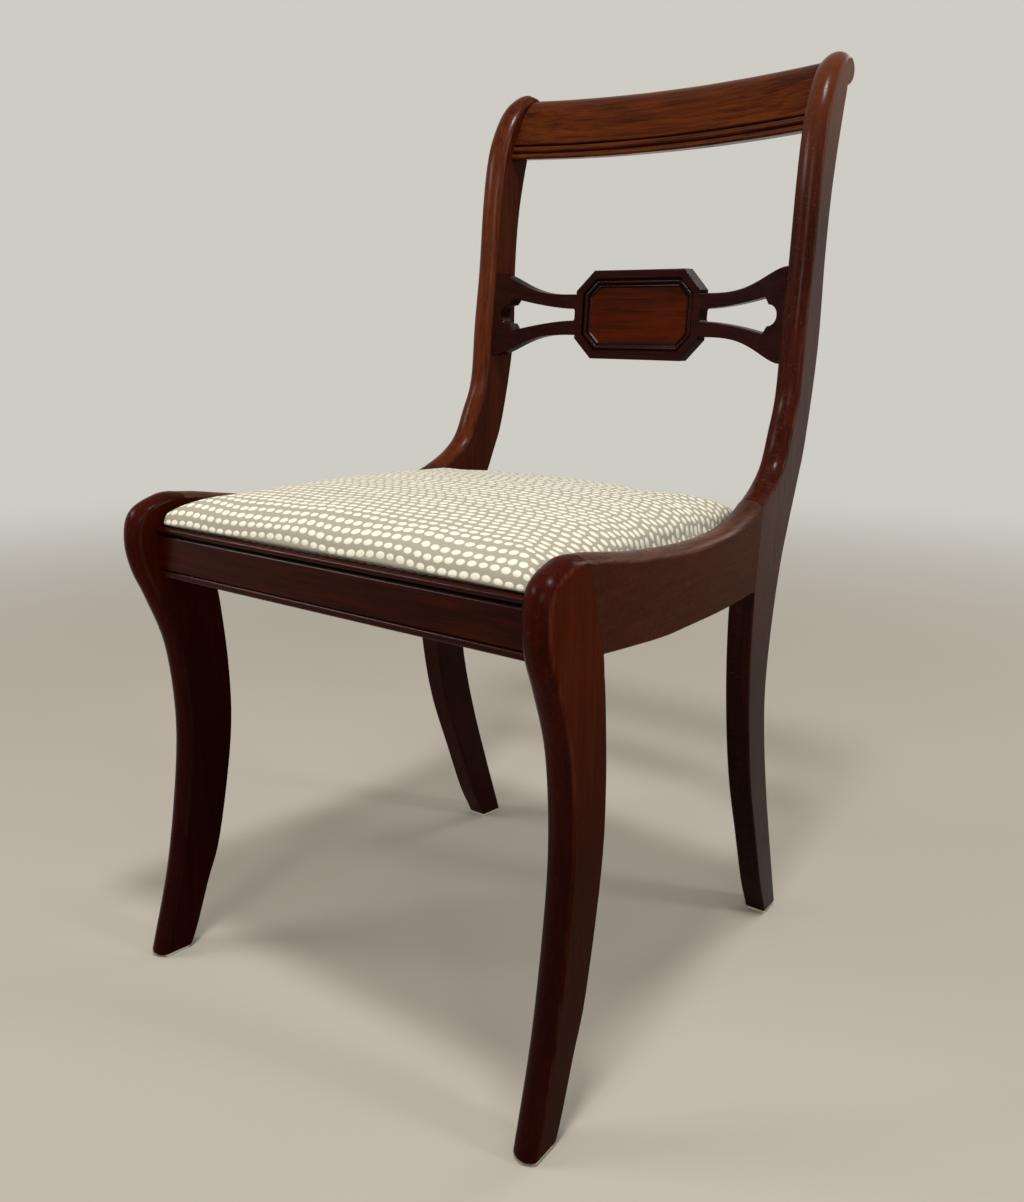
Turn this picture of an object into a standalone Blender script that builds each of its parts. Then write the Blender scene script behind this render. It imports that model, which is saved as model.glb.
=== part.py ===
"""Dining chair with sabre legs, bowed back rails and a drop-in seat.

Metres, +Z up. The origin is on the floor, midway between the two sides and midway in depth.
The sitter faces -Y, and +X is on the right of someone who stands in front of the chair.
"""
import math

import bmesh
import bpy
from mathutils import Vector, geometry

for old in list(bpy.data.objects):
    bpy.data.objects.remove(old, do_unlink=True)

# Fits
GAP = 0.0003                    # gap between pieces that touch
SEAT_CLEARANCE = 0.0015         # play of the drop-in seat inside the rails

# Stance of the two sides
KNEE_HALF_WIDTH = 0.2389        # outer faces, measured at the front of the knees
KNEE_Y = -0.2637                # front of the knees
POST_Y = 0.1002                 # where the side rail's top edge meets the back post
SIDE_SPLAY = math.radians(4.75)  # each side turns in towards the back
BOARD = 0.0255                  # thickness of legs, side rails and posts
FOOT_BOARD = 0.0225             # thickness of the same boards at the floor
CROWN = 0.0055                  # rise of the rounded front and top edges
CROWN_STEPS = 6

# Heights of the side outline
RAIL_TOP = 0.4243               # lowest point of the side rail's top edge
RAIL_DEPTH = 0.0620             # height of the side rail there
KNEE_RISE = 0.0211              # height of the knee above RAIL_TOP
BACK_RISE = 0.4207              # height of the scroll's edge above RAIL_TOP
SCROLL = 0.0262                 # height of the scroll at the top of a post
FOOT_LENGTH = 0.0285            # length of a foot on the floor
LEG_DEPTH = 0.0837              # from the front of the knee to the leg's rear edge at its fullest
BACK_SWEEP = 0.1693             # from POST_Y back to the scroll's rear edge
TOE_REACH = 0.0050              # how far the front feet stand in front of the knees
HEEL_REACH = 0.1030             # how far the rear feet stand behind POST_Y
PAD_THICKNESS = 0.0020
PAD_MARGIN = 0.0015

# Front rail
FRONT_RAIL_SETBACK = 0.0165     # from the front of the knees to the rail's face
FRONT_RAIL_THICKNESS = 0.0250
FRONT_RAIL_HEIGHT = 0.0458
FRONT_RAIL_TOP = 0.4229
FRONT_LIP = 0.0090              # part of the rail that stands in front of the seat
BEAD = 0.0064                   # height of the beads on the front rail
BEAD_QUIRK = 0.0014             # depth of the groove beside a bead
BEAD_PROUD = 0.0006             # how far a bead stands in front of the rail's face
BEAD_ROUND = 0.0018             # softened edges of a bead

# Back rail
BACK_RAIL_HEIGHT = 0.0540
BACK_RAIL_THICKNESS = 0.0280
BACK_RAIL_LEDGE = 0.0080        # width of the ledge under the seat's back edge
BACK_RAIL_SETBACK = 0.0010      # from POST_Y to the rail's face

# What the seat rests on
LEDGE_DROP = 0.0127             # from the front rail's top down to the ledge
BEARER_WIDTH = 0.0150
BEARER_HEIGHT = 0.0200
BLOCK_ARM = 0.0600
BLOCK_WIDTH = 0.0180
BLOCK_FLAT = 0.0140
BLOCK_HEIGHT = 0.0300
SCREW_RADIUS = 0.0020
SCREW_HEAD_RADIUS = 0.0042
SCREW_HEAD_HEIGHT = 0.0025
SCREW_BITE = 0.0120             # length of thread in the rail
DOWEL_RADIUS = 0.0045
DOWEL_REACH = 0.0200            # length in the end grain of a rail
DOWEL_DEPTH = 0.0150            # depth in the side of a leg or post
SIDE_DOWEL_SHARES = (0.22, 0.78)   # heights of the dowels, as shares of each joint
FRONT_DOWEL_SHARES = (0.20, 0.60)
BACK_DOWEL_SHARES = (0.38, 0.58)
ROUND_SIDES = 12

# Crest rail
CREST_HEIGHT = 0.0760           # along its lean
CREST_THICKNESS = 0.0180
CREST_LEAN = math.radians(21.0)
CREST_BOW = 0.0120              # how far its middle bends back
CREST_DROP = 0.0670             # from the scroll's edge down to the crest's lower edge
CREST_SETBACK = 0.0090          # from the stile's front to the crest's front
CREST_BEAD = 0.0060             # height of each of the two beads along its lower edge
CREST_BULGE = 0.0010            # how far a bead stands in front of the face
CREST_GROOVE = 0.0022           # width of the groove above each bead
CREST_GROOVE_DEPTH = 0.0018
CREST_ROLL = 0.0240             # how far the front face curls back over the top
CREST_STATIONS = 17
TENON_LENGTH = 0.0120
TENON_THICKNESS = 0.0080
TENON_SHOULDER = 0.0120         # left above and below a tenon

# Splat
SPLAT_LEVEL = 0.6105            # height of its middle
SPLAT_END_STEP = 0.0010         # how far the arms' ends stay inside the tablet's height
SPLAT_WAIST_HEIGHT = 0.0430
SPLAT_FAN = 1.9                 # how long an arm stays slim before it fans out
SPLAT_THICKNESS = 0.0170
SPLAT_BOW = 0.0205
SPLAT_LEAN = math.radians(4.0)
SPLAT_SETBACK = 0.0045
TABLET_WIDTH = 0.1520
TABLET_HEIGHT = 0.0920
TABLET_CORNER = 0.0210
TABLET_BORDER = 0.0095
TABLET_BEAD = 0.0040
TABLET_QUIRK = 0.0012           # width of the groove outside the bead
TABLET_SLOPE = 0.0028           # width of the slope from the bead down to the field
TABLET_RECESS = 0.0040
SLOT_NARROW = 0.0122            # height of the slot beside the tablet
SLOT_WIDE = 0.0345              # height of the slot beside the stile
SLOT_LOBE = 0.0100              # radius of the round lobe at its wide end
SLOT_MARGIN = 0.0010            # from the tablet's edge to the slot
SLOT_END = 0.0230               # from the stile to the slot's shoulders
SLOT_ROUND = 0.0015             # softened corners beside the tablet
SLOT_NOTCH = 0.0050             # from the shoulders to the middle of the lobe
SLOT_STEPS = 6

# Drop-in seat
SEAT_FRAME_THICKNESS = 0.0160
SEAT_FRAME_WIDTH = 0.0450
COVER_THICKNESS = 0.0012
DUST_COVER_THICKNESS = 0.0008
WEB_WIDTH = 0.0480
WEB_THICKNESS = 0.0012
WEB_COUNT = 3
SEAT_CROWN = 0.0290             # rise of the middle above the seat's rounded edge
SEAT_EDGE = 0.0110              # radius of that rounded edge
SEAT_CORNER = 0.0130
SEAT_DRAW = 0.0020              # how far the sides draw in between the corners
SEAT_SIDE_STEPS = 7
SEAT_CORNER_STEPS = 4

# Places that follow from the sizes above
SPLAY = math.tan(SIDE_SPLAY)
SPLAT_END_HEIGHT = TABLET_HEIGHT - 2 * SPLAT_END_STEP
FOOT_Z = PAD_THICKNESS + GAP
RAIL_BOTTOM = RAIL_TOP - RAIL_DEPTH
TAPER_TOP = 0.97 * RAIL_BOTTOM  # where legs and posts begin to thin towards the feet
FOOT_TAPER = BOARD - FOOT_BOARD
BACK_TOP = RAIL_TOP + BACK_RISE
LEDGE_Z = FRONT_RAIL_TOP - LEDGE_DROP
FRONT_RAIL_Y = KNEE_Y + FRONT_RAIL_SETBACK
FRONT_RAIL_REAR = FRONT_RAIL_Y + FRONT_RAIL_THICKNESS
BACK_RAIL_Y = POST_Y + BACK_RAIL_SETBACK
BACK_LIP_Y = BACK_RAIL_Y + BACK_RAIL_LEDGE
BACK_RAIL_TOP = LEDGE_Z + LEDGE_DROP
BACK_RAIL_BOTTOM = BACK_RAIL_TOP - BACK_RAIL_HEIGHT
SIDE_RUN = POST_Y - KNEE_Y
LEFT, RIGHT = -1, 1
FORWARDS = Vector((-1, 0))      # directions in a side's (depth, height) outline
UPWARDS = Vector((0, 1))
SIDES = {"left": LEFT, "right": RIGHT}


def side_x(y):
    """Half the chair's width at the outer faces, at depth y."""
    return KNEE_HALF_WIDTH - SPLAY * (y - KNEE_Y)


def inner_x(y):
    """Half the clear width between the inner faces, at depth y."""
    return side_x(y) - BOARD


# Materials
def material(name, colour, roughness, metallic=0.0):
    made = bpy.data.materials.new(name)
    made.use_nodes = True
    shader = made.node_tree.nodes["Principled BSDF"]
    shader.inputs["Base Color"].default_value = (*colour, 1.0)
    shader.inputs["Roughness"].default_value = roughness
    shader.inputs["Metallic"].default_value = metallic
    return made


MAHOGANY = material("mahogany", (0.090, 0.022, 0.010), 0.25)
BEECH = material("beech", (0.420, 0.270, 0.140), 0.60)
STEEL = material("steel", (0.550, 0.540, 0.520), 0.40, 1.0)
FELT = material("felt", (0.520, 0.480, 0.400), 0.95)
JUTE = material("jute_webbing", (0.330, 0.240, 0.130), 0.90)
FOAM = material("foam", (0.800, 0.740, 0.560), 0.90)
FABRIC = material("dotted_fabric", (0.430, 0.390, 0.300), 0.85)
LINING = material("black_lining", (0.020, 0.020, 0.020), 0.90)


# Meshes
def add_object(name, verts, faces, finish, smooth=False):
    """One named object from points in world coordinates, with its faces turned outwards."""
    mesh = bpy.data.meshes.new(name)
    mesh.from_pydata([tuple(v) for v in verts], [], faces)
    work = bmesh.new()
    work.from_mesh(mesh)
    bmesh.ops.remove_doubles(work, verts=work.verts, dist=1e-6)
    bmesh.ops.recalc_face_normals(work, faces=work.faces)
    work.to_mesh(mesh)
    work.free()
    if smooth:
        mesh.shade_smooth()
        mesh.set_sharp_from_angle(angle=math.radians(35))
    made = bpy.data.objects.new(name, mesh)
    if finish is not None:
        mesh.materials.append(finish)
    bpy.context.scene.collection.objects.link(made)
    return made


def loft(rings):
    """Points and faces of a closed skin over rings that all have the same number of points."""
    count = len(rings[0])
    verts = [point for ring in rings for point in ring]
    faces = []
    for level in range(len(rings) - 1):
        for i in range(count):
            j = (i + 1) % count
            low = level * count
            high = low + count
            faces.append((low + i, low + j, high + j, high + i))
    faces.append(tuple(range(count)))
    faces.append(tuple(range((len(rings) - 1) * count, len(rings) * count)))
    return verts, faces


def merge(shapes):
    """Several points-and-faces shapes as one."""
    verts, faces = [], []
    for shape_verts, shape_faces in shapes:
        start = len(verts)
        verts += shape_verts
        faces += [tuple(start + i for i in face) for face in shape_faces]
    return verts, faces


def rod(start, end, radius, head_radius=None, head_height=0.0):
    """A round bar from start to end, with an optional wider head beyond start."""
    start, end = Vector(start), Vector(end)
    along = (end - start).normalized()
    across = along.orthogonal().normalized()
    other = along.cross(across)

    def ring(centre, size):
        turns = [2 * math.pi * i / ROUND_SIDES for i in range(ROUND_SIDES)]
        return [centre + size * (across * math.cos(a) + other * math.sin(a)) for a in turns]

    rings = [ring(start, radius), ring(end, radius)]
    if head_radius:
        top = start - along * head_height
        rings = [ring(top, head_radius * 0.7), ring(top + along * head_height * 0.5, head_radius),
                 ring(start, head_radius)] + rings
    return loft(rings)


def prism(outline, low, high):
    """An upright prism over a plan outline of (x, y) points."""
    return loft([[Vector((x, y, z)) for x, y in outline] for z in (low, high)])


def cut(target, shapes):
    """Cut shapes out of an object with one Boolean modifier."""
    verts, faces = merge(shapes)
    cutter = add_object(target.name + "_cutter", verts, faces, None)
    cutter.hide_render = True
    cutter.display_type = "WIRE"
    cutter.parent = target.parent
    modifier = target.modifiers.new("cuts", "BOOLEAN")
    modifier.operation = "DIFFERENCE"
    modifier.solver = "EXACT"
    modifier.object = cutter


def smooth_curve(points, before, after, steps=5):
    """A Catmull-Rom curve through points, with one neighbour beyond each end to steer it."""
    chain = [Vector(before)] + [Vector(p) for p in points] + [Vector(after)]
    curve = []
    for a, b, c, d in zip(chain, chain[1:], chain[2:], chain[3:]):
        for step in range(steps):
            t = step / steps
            curve.append(0.5 * (2 * b + (c - a) * t + (2 * a - 5 * b + 4 * c - d) * t ** 2
                                + (3 * b - a - 3 * c + d) * t ** 3))
    curve.append(chain[-2])
    return curve


# Outline of a side, seen from the right: (depth, height) points along each edge
LEG_JOINT_LOW = (KNEE_Y + 0.859 * LEG_DEPTH, RAIL_BOTTOM + 0.208 * RAIL_DEPTH)
LEG_JOINT_HIGH = (KNEE_Y + 0.573 * LEG_DEPTH, RAIL_TOP + KNEE_RISE)
POST_JOINT_LOW = (POST_Y - 0.045 * BACK_SWEEP, RAIL_BOTTOM + 0.029 * RAIL_DEPTH)
POST_JOINT_HIGH = (POST_Y, RAIL_TOP + 0.287 * RAIL_DEPTH)
TOE_Y = KNEE_Y - TOE_REACH
HEEL_Y = POST_Y + HEEL_REACH

LEG_FRONT = [
    (TOE_Y, FOOT_Z),
    (KNEE_Y + 0.220 * LEG_DEPTH, 0.239 * RAIL_BOTTOM),
    (KNEE_Y + 0.410 * LEG_DEPTH, 0.497 * RAIL_BOTTOM),
    (KNEE_Y + 0.459 * LEG_DEPTH, 0.672 * RAIL_BOTTOM),
    (KNEE_Y + 0.385 * LEG_DEPTH, 0.851 * RAIL_BOTTOM),
    (KNEE_Y + 0.191 * LEG_DEPTH, 0.983 * RAIL_BOTTOM),
    (KNEE_Y + 0.054 * LEG_DEPTH, RAIL_BOTTOM + 0.344 * RAIL_DEPTH),
    (KNEE_Y, RAIL_TOP - 0.231 * RAIL_DEPTH),
    (KNEE_Y + 0.060 * LEG_DEPTH, RAIL_TOP + 0.38 * KNEE_RISE),
    (KNEE_Y + 0.276 * LEG_DEPTH, RAIL_TOP + 0.89 * KNEE_RISE),
    LEG_JOINT_HIGH,
]
LEG_REAR = [
    LEG_JOINT_LOW,
    (KNEE_Y + 0.931 * LEG_DEPTH, 0.949 * RAIL_BOTTOM),
    (KNEE_Y + LEG_DEPTH, 0.750 * RAIL_BOTTOM),
    (KNEE_Y + 0.970 * LEG_DEPTH, 0.562 * RAIL_BOTTOM),
    (KNEE_Y + 0.754 * LEG_DEPTH, 0.298 * RAIL_BOTTOM),
    (KNEE_Y + 0.559 * LEG_DEPTH, 0.175 * RAIL_BOTTOM),
    (TOE_Y + FOOT_LENGTH, FOOT_Z),
]
RAIL_UPPER = [
    LEG_JOINT_HIGH,
    (KNEE_Y + 0.350 * SIDE_RUN, RAIL_TOP + 0.152 * RAIL_DEPTH),
    (KNEE_Y + 0.545 * SIDE_RUN, RAIL_TOP + 0.035 * RAIL_DEPTH),
    (KNEE_Y + 0.705 * SIDE_RUN, RAIL_TOP),
    (KNEE_Y + 0.826 * SIDE_RUN, RAIL_TOP + 0.026 * RAIL_DEPTH),
    (KNEE_Y + 0.920 * SIDE_RUN, RAIL_TOP + 0.129 * RAIL_DEPTH),
    POST_JOINT_HIGH,
]
RAIL_LOWER = [
    POST_JOINT_LOW,
    (KNEE_Y + 0.788 * SIDE_RUN, RAIL_BOTTOM),
    (KNEE_Y + 0.616 * SIDE_RUN, RAIL_BOTTOM + 0.015 * RAIL_DEPTH),
    (KNEE_Y + 0.460 * SIDE_RUN, RAIL_BOTTOM + 0.047 * RAIL_DEPTH),
    (KNEE_Y + 0.274 * SIDE_RUN, RAIL_BOTTOM + 0.153 * RAIL_DEPTH),
    LEG_JOINT_LOW,
]
POST_FRONT = [
    POST_JOINT_HIGH,
    (POST_Y + 0.159 * BACK_SWEEP, RAIL_TOP + 0.498 * RAIL_DEPTH),
    (POST_Y + 0.289 * BACK_SWEEP, RAIL_TOP + 0.797 * RAIL_DEPTH),
    (POST_Y + 0.372 * BACK_SWEEP, RAIL_TOP + 1.258 * RAIL_DEPTH),
    (POST_Y + 0.454 * BACK_SWEEP, RAIL_TOP + 0.270 * BACK_RISE),
    (POST_Y + 0.490 * BACK_SWEEP, RAIL_TOP + 0.415 * BACK_RISE),
    (POST_Y + 0.535 * BACK_SWEEP, RAIL_TOP + 0.556 * BACK_RISE),
    (POST_Y + 0.570 * BACK_SWEEP, RAIL_TOP + 0.715 * BACK_RISE),
    (POST_Y + 0.611 * BACK_SWEEP, RAIL_TOP + 0.828 * BACK_RISE),
    (POST_Y + 0.672 * BACK_SWEEP, RAIL_TOP + 0.902 * BACK_RISE),
    (POST_Y + 0.776 * BACK_SWEEP, BACK_TOP - 0.534 * SCROLL),
    (POST_Y + 0.911 * BACK_SWEEP, BACK_TOP),
]
POST_SCROLL = [
    POST_FRONT[-1],
    (POST_Y + 0.982 * BACK_SWEEP, BACK_TOP - 0.153 * SCROLL),
    (POST_Y + BACK_SWEEP, BACK_TOP - 0.458 * SCROLL),
    (POST_Y + 0.973 * BACK_SWEEP, BACK_TOP - 0.782 * SCROLL),
    (POST_Y + 0.901 * BACK_SWEEP, BACK_TOP - SCROLL),
]
POST_REAR = [
    POST_SCROLL[-1],
    (POST_Y + 0.861 * BACK_SWEEP, RAIL_TOP + 0.880 * BACK_RISE),
    (POST_Y + 0.802 * BACK_SWEEP, RAIL_TOP + 0.790 * BACK_RISE),
    (POST_Y + 0.753 * BACK_SWEEP, RAIL_TOP + 0.690 * BACK_RISE),
    (POST_Y + 0.724 * BACK_SWEEP, RAIL_TOP + 0.559 * BACK_RISE),
    (POST_Y + 0.709 * BACK_SWEEP, RAIL_TOP + 0.370 * BACK_RISE),
    (POST_Y + 0.604 * BACK_SWEEP, RAIL_TOP + 0.166 * BACK_RISE),
    (POST_Y + 0.516 * BACK_SWEEP, RAIL_TOP + 0.508 * RAIL_DEPTH),
    (POST_Y + 0.416 * BACK_SWEEP, RAIL_TOP - 0.113 * RAIL_DEPTH),
    (POST_Y + 0.328 * BACK_SWEEP, RAIL_BOTTOM + 0.274 * RAIL_DEPTH),
    (POST_Y + 0.254 * BACK_SWEEP, 0.900 * RAIL_BOTTOM),
    (POST_Y + 0.214 * BACK_SWEEP, 0.740 * RAIL_BOTTOM),
    (POST_Y + 0.239 * BACK_SWEEP, 0.599 * RAIL_BOTTOM),
    (POST_Y + 0.336 * BACK_SWEEP, 0.407 * RAIL_BOTTOM),
    (POST_Y + 0.475 * BACK_SWEEP, 0.197 * RAIL_BOTTOM),
    (HEEL_Y, FOOT_Z),
]
POST_LEG_FRONT = [
    (HEEL_Y - FOOT_LENGTH, FOOT_Z),
    (POST_Y + 0.330 * BACK_SWEEP, 0.112 * RAIL_BOTTOM),
    (POST_Y + 0.195 * BACK_SWEEP, 0.287 * RAIL_BOTTOM),
    (POST_Y + 0.069 * BACK_SWEEP, 0.452 * RAIL_BOTTOM),
    (POST_Y - 0.003 * BACK_SWEEP, 0.600 * RAIL_BOTTOM),
    (POST_Y - 0.050 * BACK_SWEEP, 0.773 * RAIL_BOTTOM),
    (POST_Y - 0.059 * BACK_SWEEP, 0.915 * RAIL_BOTTOM),
    POST_JOINT_LOW,
]
UNDER_FLOOR = -0.0300           # height of the points that steer the curves into the feet


def offset_along(point, towards, distance):
    """Move an outline point a short way towards another one."""
    point, towards = Vector(point), Vector(towards)
    return point + (towards - point).normalized() * distance


def board(name, sign, crowned, plain, first_way, last_way, thin_outside=False):
    """A board of one side: an outline whose first stretch has a crowned edge.

    crowned and plain are chains of (depth, height) points that make a closed outline together.
    first_way and last_way are the directions of the crown at its two ends, along the face there.
    """
    outline = crowned + plain
    count = len(outline)
    ways = [first_way]
    for behind, ahead in zip(crowned, crowned[2:]):
        tangent = (ahead - behind).normalized()
        ways.append(Vector((-tangent.y, tangent.x)))
    ways.append(last_way)
    columns = []
    for index, point in enumerate(outline):
        crowned_here = index < len(crowned)
        rise = CROWN if crowned_here else 0.0
        normal = ways[index] if crowned_here else Vector((0, 0))
        column = []
        for step in range(CROWN_STEPS + 1):
            share = step / CROWN_STEPS
            place = point + normal * rise * (1 - (2 * share - 1) ** 2)
            edge = side_x(place.x)
            column.append(Vector((sign * (edge - BOARD * share), place.x, place.y)))
        columns.append(column)
    verts = [point for column in columns for point in column]
    row = CROWN_STEPS + 1
    faces = []
    for i in range(count):
        j = (i + 1) % count
        for step in range(CROWN_STEPS):
            faces.append((i * row + step, j * row + step, j * row + step + 1, i * row + step + 1))
    faces.append(tuple(i * row for i in range(count)))
    faces.append(tuple(i * row + CROWN_STEPS for i in range(count)))
    made = add_object(name, verts, faces, MAHOGANY, smooth=True)
    taper_foot(made.data, sign, thin_outside)
    return made


def taper_foot(mesh, sign, thin_outside):
    """Thin one face of a board evenly from the seat rail down to the floor."""
    work = bmesh.new()
    work.from_mesh(mesh)
    everything = work.verts[:] + work.edges[:] + work.faces[:]
    bmesh.ops.bisect_plane(work, geom=everything, plane_co=(0, 0, TAPER_TOP), plane_no=(0, 0, 1),
                           dist=1e-6)
    for vert in work.verts:
        if vert.co.z < TAPER_TOP:
            depth = (side_x(vert.co.y) - abs(vert.co.x)) / BOARD
            share = depth - 1 if thin_outside else depth
            vert.co.x += sign * share * FOOT_TAPER * (1 - vert.co.z / TAPER_TOP)
    work.to_mesh(mesh)
    work.free()


def dowel_ends(low, high, share):
    """Two points of a dowel that crosses a joint line at a share of its height."""
    centre = Vector(low).lerp(Vector(high), share)
    ends = []
    for step in (-DOWEL_REACH, DOWEL_REACH):
        y = centre.x + step
        ends.append(Vector((side_x(y) - BOARD / 2, y, centre.y)))
    return ends


def mirrored(point, sign):
    return Vector((sign * point[0], point[1], point[2]))


def cross_dowel(y, z):
    """Ends of a dowel that runs along X from a rail into the side of a leg or post."""
    return Vector((inner_x(y) - DOWEL_REACH, y, z)), Vector((inner_x(y) + DOWEL_DEPTH, y, z))


def joint_dowels(low, high):
    """Ends of the dowels along one joint between a side rail and a leg or post."""
    return [dowel_ends(low, high, share) for share in SIDE_DOWEL_SHARES]


FRONT_DOWEL_Y = FRONT_RAIL_Y + FRONT_RAIL_THICKNESS / 2
BACK_DOWEL_Y = BACK_LIP_Y + (BACK_RAIL_THICKNESS - BACK_RAIL_LEDGE) / 2
FRONT_RAIL_BOTTOM = FRONT_RAIL_TOP - FRONT_RAIL_HEIGHT
POST_JOINT_RISE = POST_JOINT_HIGH[1] - POST_JOINT_LOW[1]
FRONT_DOWELS = [cross_dowel(FRONT_DOWEL_Y, FRONT_RAIL_BOTTOM + share * FRONT_RAIL_HEIGHT)
                for share in FRONT_DOWEL_SHARES]
BACK_DOWELS = [cross_dowel(BACK_DOWEL_Y, POST_JOINT_LOW[1] + share * POST_JOINT_RISE)
               for share in BACK_DOWEL_SHARES]
LEG_DOWELS = joint_dowels(LEG_JOINT_LOW, LEG_JOINT_HIGH)
POST_DOWELS = joint_dowels(POST_JOINT_LOW, POST_JOINT_HIGH)


def hole(ends, sign, radius=DOWEL_RADIUS):
    """Cutter for a blind hole, a gap longer and wider than what goes in."""
    start, end = (mirrored(p, sign) for p in ends)
    along = (end - start).normalized() * GAP
    return rod(start - along, end + along, radius + GAP)


# Corner blocks and their screws, in plan from the inner corner of two rails
def block_corners():
    """Plan points of each corner block's corner, with the way to the middle of the seat."""
    return {
        "front": (FRONT_RAIL_REAR + GAP, 1),
        "back": (BACK_RAIL_Y - GAP, -1),
    }


def block_outline(corner_y, way, sign):
    """L-shaped block with its inner corner filled by a slanted face."""
    run = [(0, 0), (BLOCK_ARM, 0), (BLOCK_ARM, BLOCK_WIDTH), (BLOCK_ARM - BLOCK_FLAT, BLOCK_WIDTH),
           (BLOCK_WIDTH, BLOCK_ARM - BLOCK_FLAT), (BLOCK_WIDTH, BLOCK_ARM), (0, BLOCK_ARM)]
    outline = []
    for inward, along in run:
        y = corner_y + way * along
        outline.append((sign * (inner_x(y) - GAP - inward), y))
    return outline


SCREW_Z = LEDGE_Z - 0.55 * BLOCK_HEIGHT
SCREW_ALONG = BLOCK_ARM - BLOCK_FLAT / 2


def block_screws(corner_y, way, sign):
    """Start and end of the two screws of a block: one into the side, one into the cross rail."""
    side_y = corner_y + way * SCREW_ALONG
    head_tilt = SCREW_HEAD_RADIUS * SPLAY
    side_start = Vector((inner_x(side_y) - BLOCK_WIDTH - 2 * GAP - head_tilt, side_y, SCREW_Z))
    side_end = Vector((inner_x(side_y) + SCREW_BITE, side_y, SCREW_Z))
    rail_x = inner_x(corner_y) - GAP - SCREW_ALONG
    rail_start = Vector((rail_x, corner_y + way * (BLOCK_WIDTH + GAP), SCREW_Z))
    rail_end = Vector((rail_x, corner_y - way * SCREW_BITE, SCREW_Z))
    pairs = ((side_start, side_end), (rail_start, rail_end))
    return [[mirrored(p, sign) for p in pair] for pair in pairs]


def screw_hole(pair):
    start, end = pair
    along = (end - start).normalized() * GAP
    return rod(start - along, end + along, SCREW_RADIUS + GAP)


SCREWS = {}
for side_name, side_sign in SIDES.items():
    for end_name, (corner_y, way) in block_corners().items():
        SCREWS[end_name, side_name] = block_screws(corner_y, way, side_sign)


# Bent rails of the back
def crest_ring(x, tenon=False, grow=0.0):
    """Section of the crest rail at half-length x, as points (y, z)."""
    bow = CREST_BOW * (1 - (x / CREST_HALF) ** 2)
    foot = CREST_FOOT + Vector((math.cos(CREST_LEAN), -math.sin(CREST_LEAN))) * bow
    up = Vector((math.sin(CREST_LEAN), math.cos(CREST_LEAN)))
    back = Vector((math.cos(CREST_LEAN), -math.sin(CREST_LEAN)))
    if tenon:
        low, high = TENON_SHOULDER - grow, CREST_HEIGHT - 2 * TENON_SHOULDER + grow
        near = (CREST_THICKNESS - TENON_THICKNESS) / 2 - grow
        far = (CREST_THICKNESS + TENON_THICKNESS) / 2 + grow
        quarter = (len(CREST_PROFILE) - 4) // 4
        corners = [(near, low), (near, high), (far, high), (far, low)]
        local = []
        for (d0, h0), (d1, h1) in zip(corners, corners[1:] + corners[:1]):
            local += [(d0 + (d1 - d0) * i / (quarter + 1), h0 + (h1 - h0) * i / (quarter + 1))
                      for i in range(quarter + 1)]
    else:
        local = CREST_PROFILE
    return [foot + back * depth + up * height for depth, height in local]


CREST_FACE = 2 * (CREST_BEAD + CREST_GROOVE)
CREST_PROFILE = [
    (0.0, 0.0),
    (-CREST_BULGE, CREST_BEAD / 2),
    (0.0, CREST_BEAD),
    (CREST_GROOVE_DEPTH, CREST_BEAD + CREST_GROOVE / 2),
    (0.0, CREST_BEAD + CREST_GROOVE),
    (-CREST_BULGE, 1.5 * CREST_BEAD + CREST_GROOVE),
    (0.0, 2 * CREST_BEAD + CREST_GROOVE),
    (CREST_GROOVE_DEPTH, 2 * CREST_BEAD + 1.5 * CREST_GROOVE),
    (0.0, CREST_FACE),
    (0.03 * CREST_ROLL, 0.40 * CREST_HEIGHT),
    (0.09 * CREST_ROLL, 0.62 * CREST_HEIGHT),
    (0.23 * CREST_ROLL, 0.82 * CREST_HEIGHT),
    (0.44 * CREST_ROLL, 0.94 * CREST_HEIGHT),
    (0.71 * CREST_ROLL, CREST_HEIGHT),
    (CREST_ROLL, 0.975 * CREST_HEIGHT),
    (1.07 * CREST_ROLL, 0.90 * CREST_HEIGHT),
    (0.88 * CREST_ROLL, 0.80 * CREST_HEIGHT),
    (CREST_THICKNESS, 0.68 * CREST_HEIGHT),
    (CREST_THICKNESS, 0.34 * CREST_HEIGHT),
    (CREST_THICKNESS, CREST_THICKNESS * math.tan(CREST_LEAN)),
]
CREST_Z = BACK_TOP - CREST_DROP
stile_front = smooth_curve(POST_FRONT, RAIL_UPPER[-2], POST_SCROLL[1])


def stile_front_at(z):
    """Depth of the stile's front edge at height z."""
    for low, high in zip(stile_front, stile_front[1:]):
        if low.y <= z <= high.y:
            return low.x + (high.x - low.x) * (z - low.y) / (high.y - low.y)
    return stile_front[-1].x


CREST_FOOT = Vector((stile_front_at(CREST_Z) + CREST_SETBACK, CREST_Z))
CREST_HALF = inner_x(CREST_FOOT.x) - GAP


def crest_shape():
    """Loft along X: tenon, shoulder, bowed body, shoulder, tenon."""
    rings = []
    stations = [CREST_HALF * (2 * i / (CREST_STATIONS - 1) - 1) for i in range(CREST_STATIONS)]
    for end in (LEFT, RIGHT):
        tenon = crest_ring(CREST_HALF, tenon=True)
        shoulder = [Vector((end * (inner_x(p.x) - GAP), p.x, p.y)) for p in tenon]
        tip = [Vector((end * (inner_x(p.x) + TENON_LENGTH), p.x, p.y)) for p in tenon]
        rings.append([tip, shoulder] if end == LEFT else [shoulder, tip])
    body = []
    for x in stations:
        ring = []
        for p in crest_ring(x):
            reach = x if abs(x) < CREST_HALF else math.copysign(inner_x(p.x) - GAP, x)
            ring.append(Vector((reach, p.x, p.y)))
        body.append(ring)
    return loft(rings[0] + body + rings[1])


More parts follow.
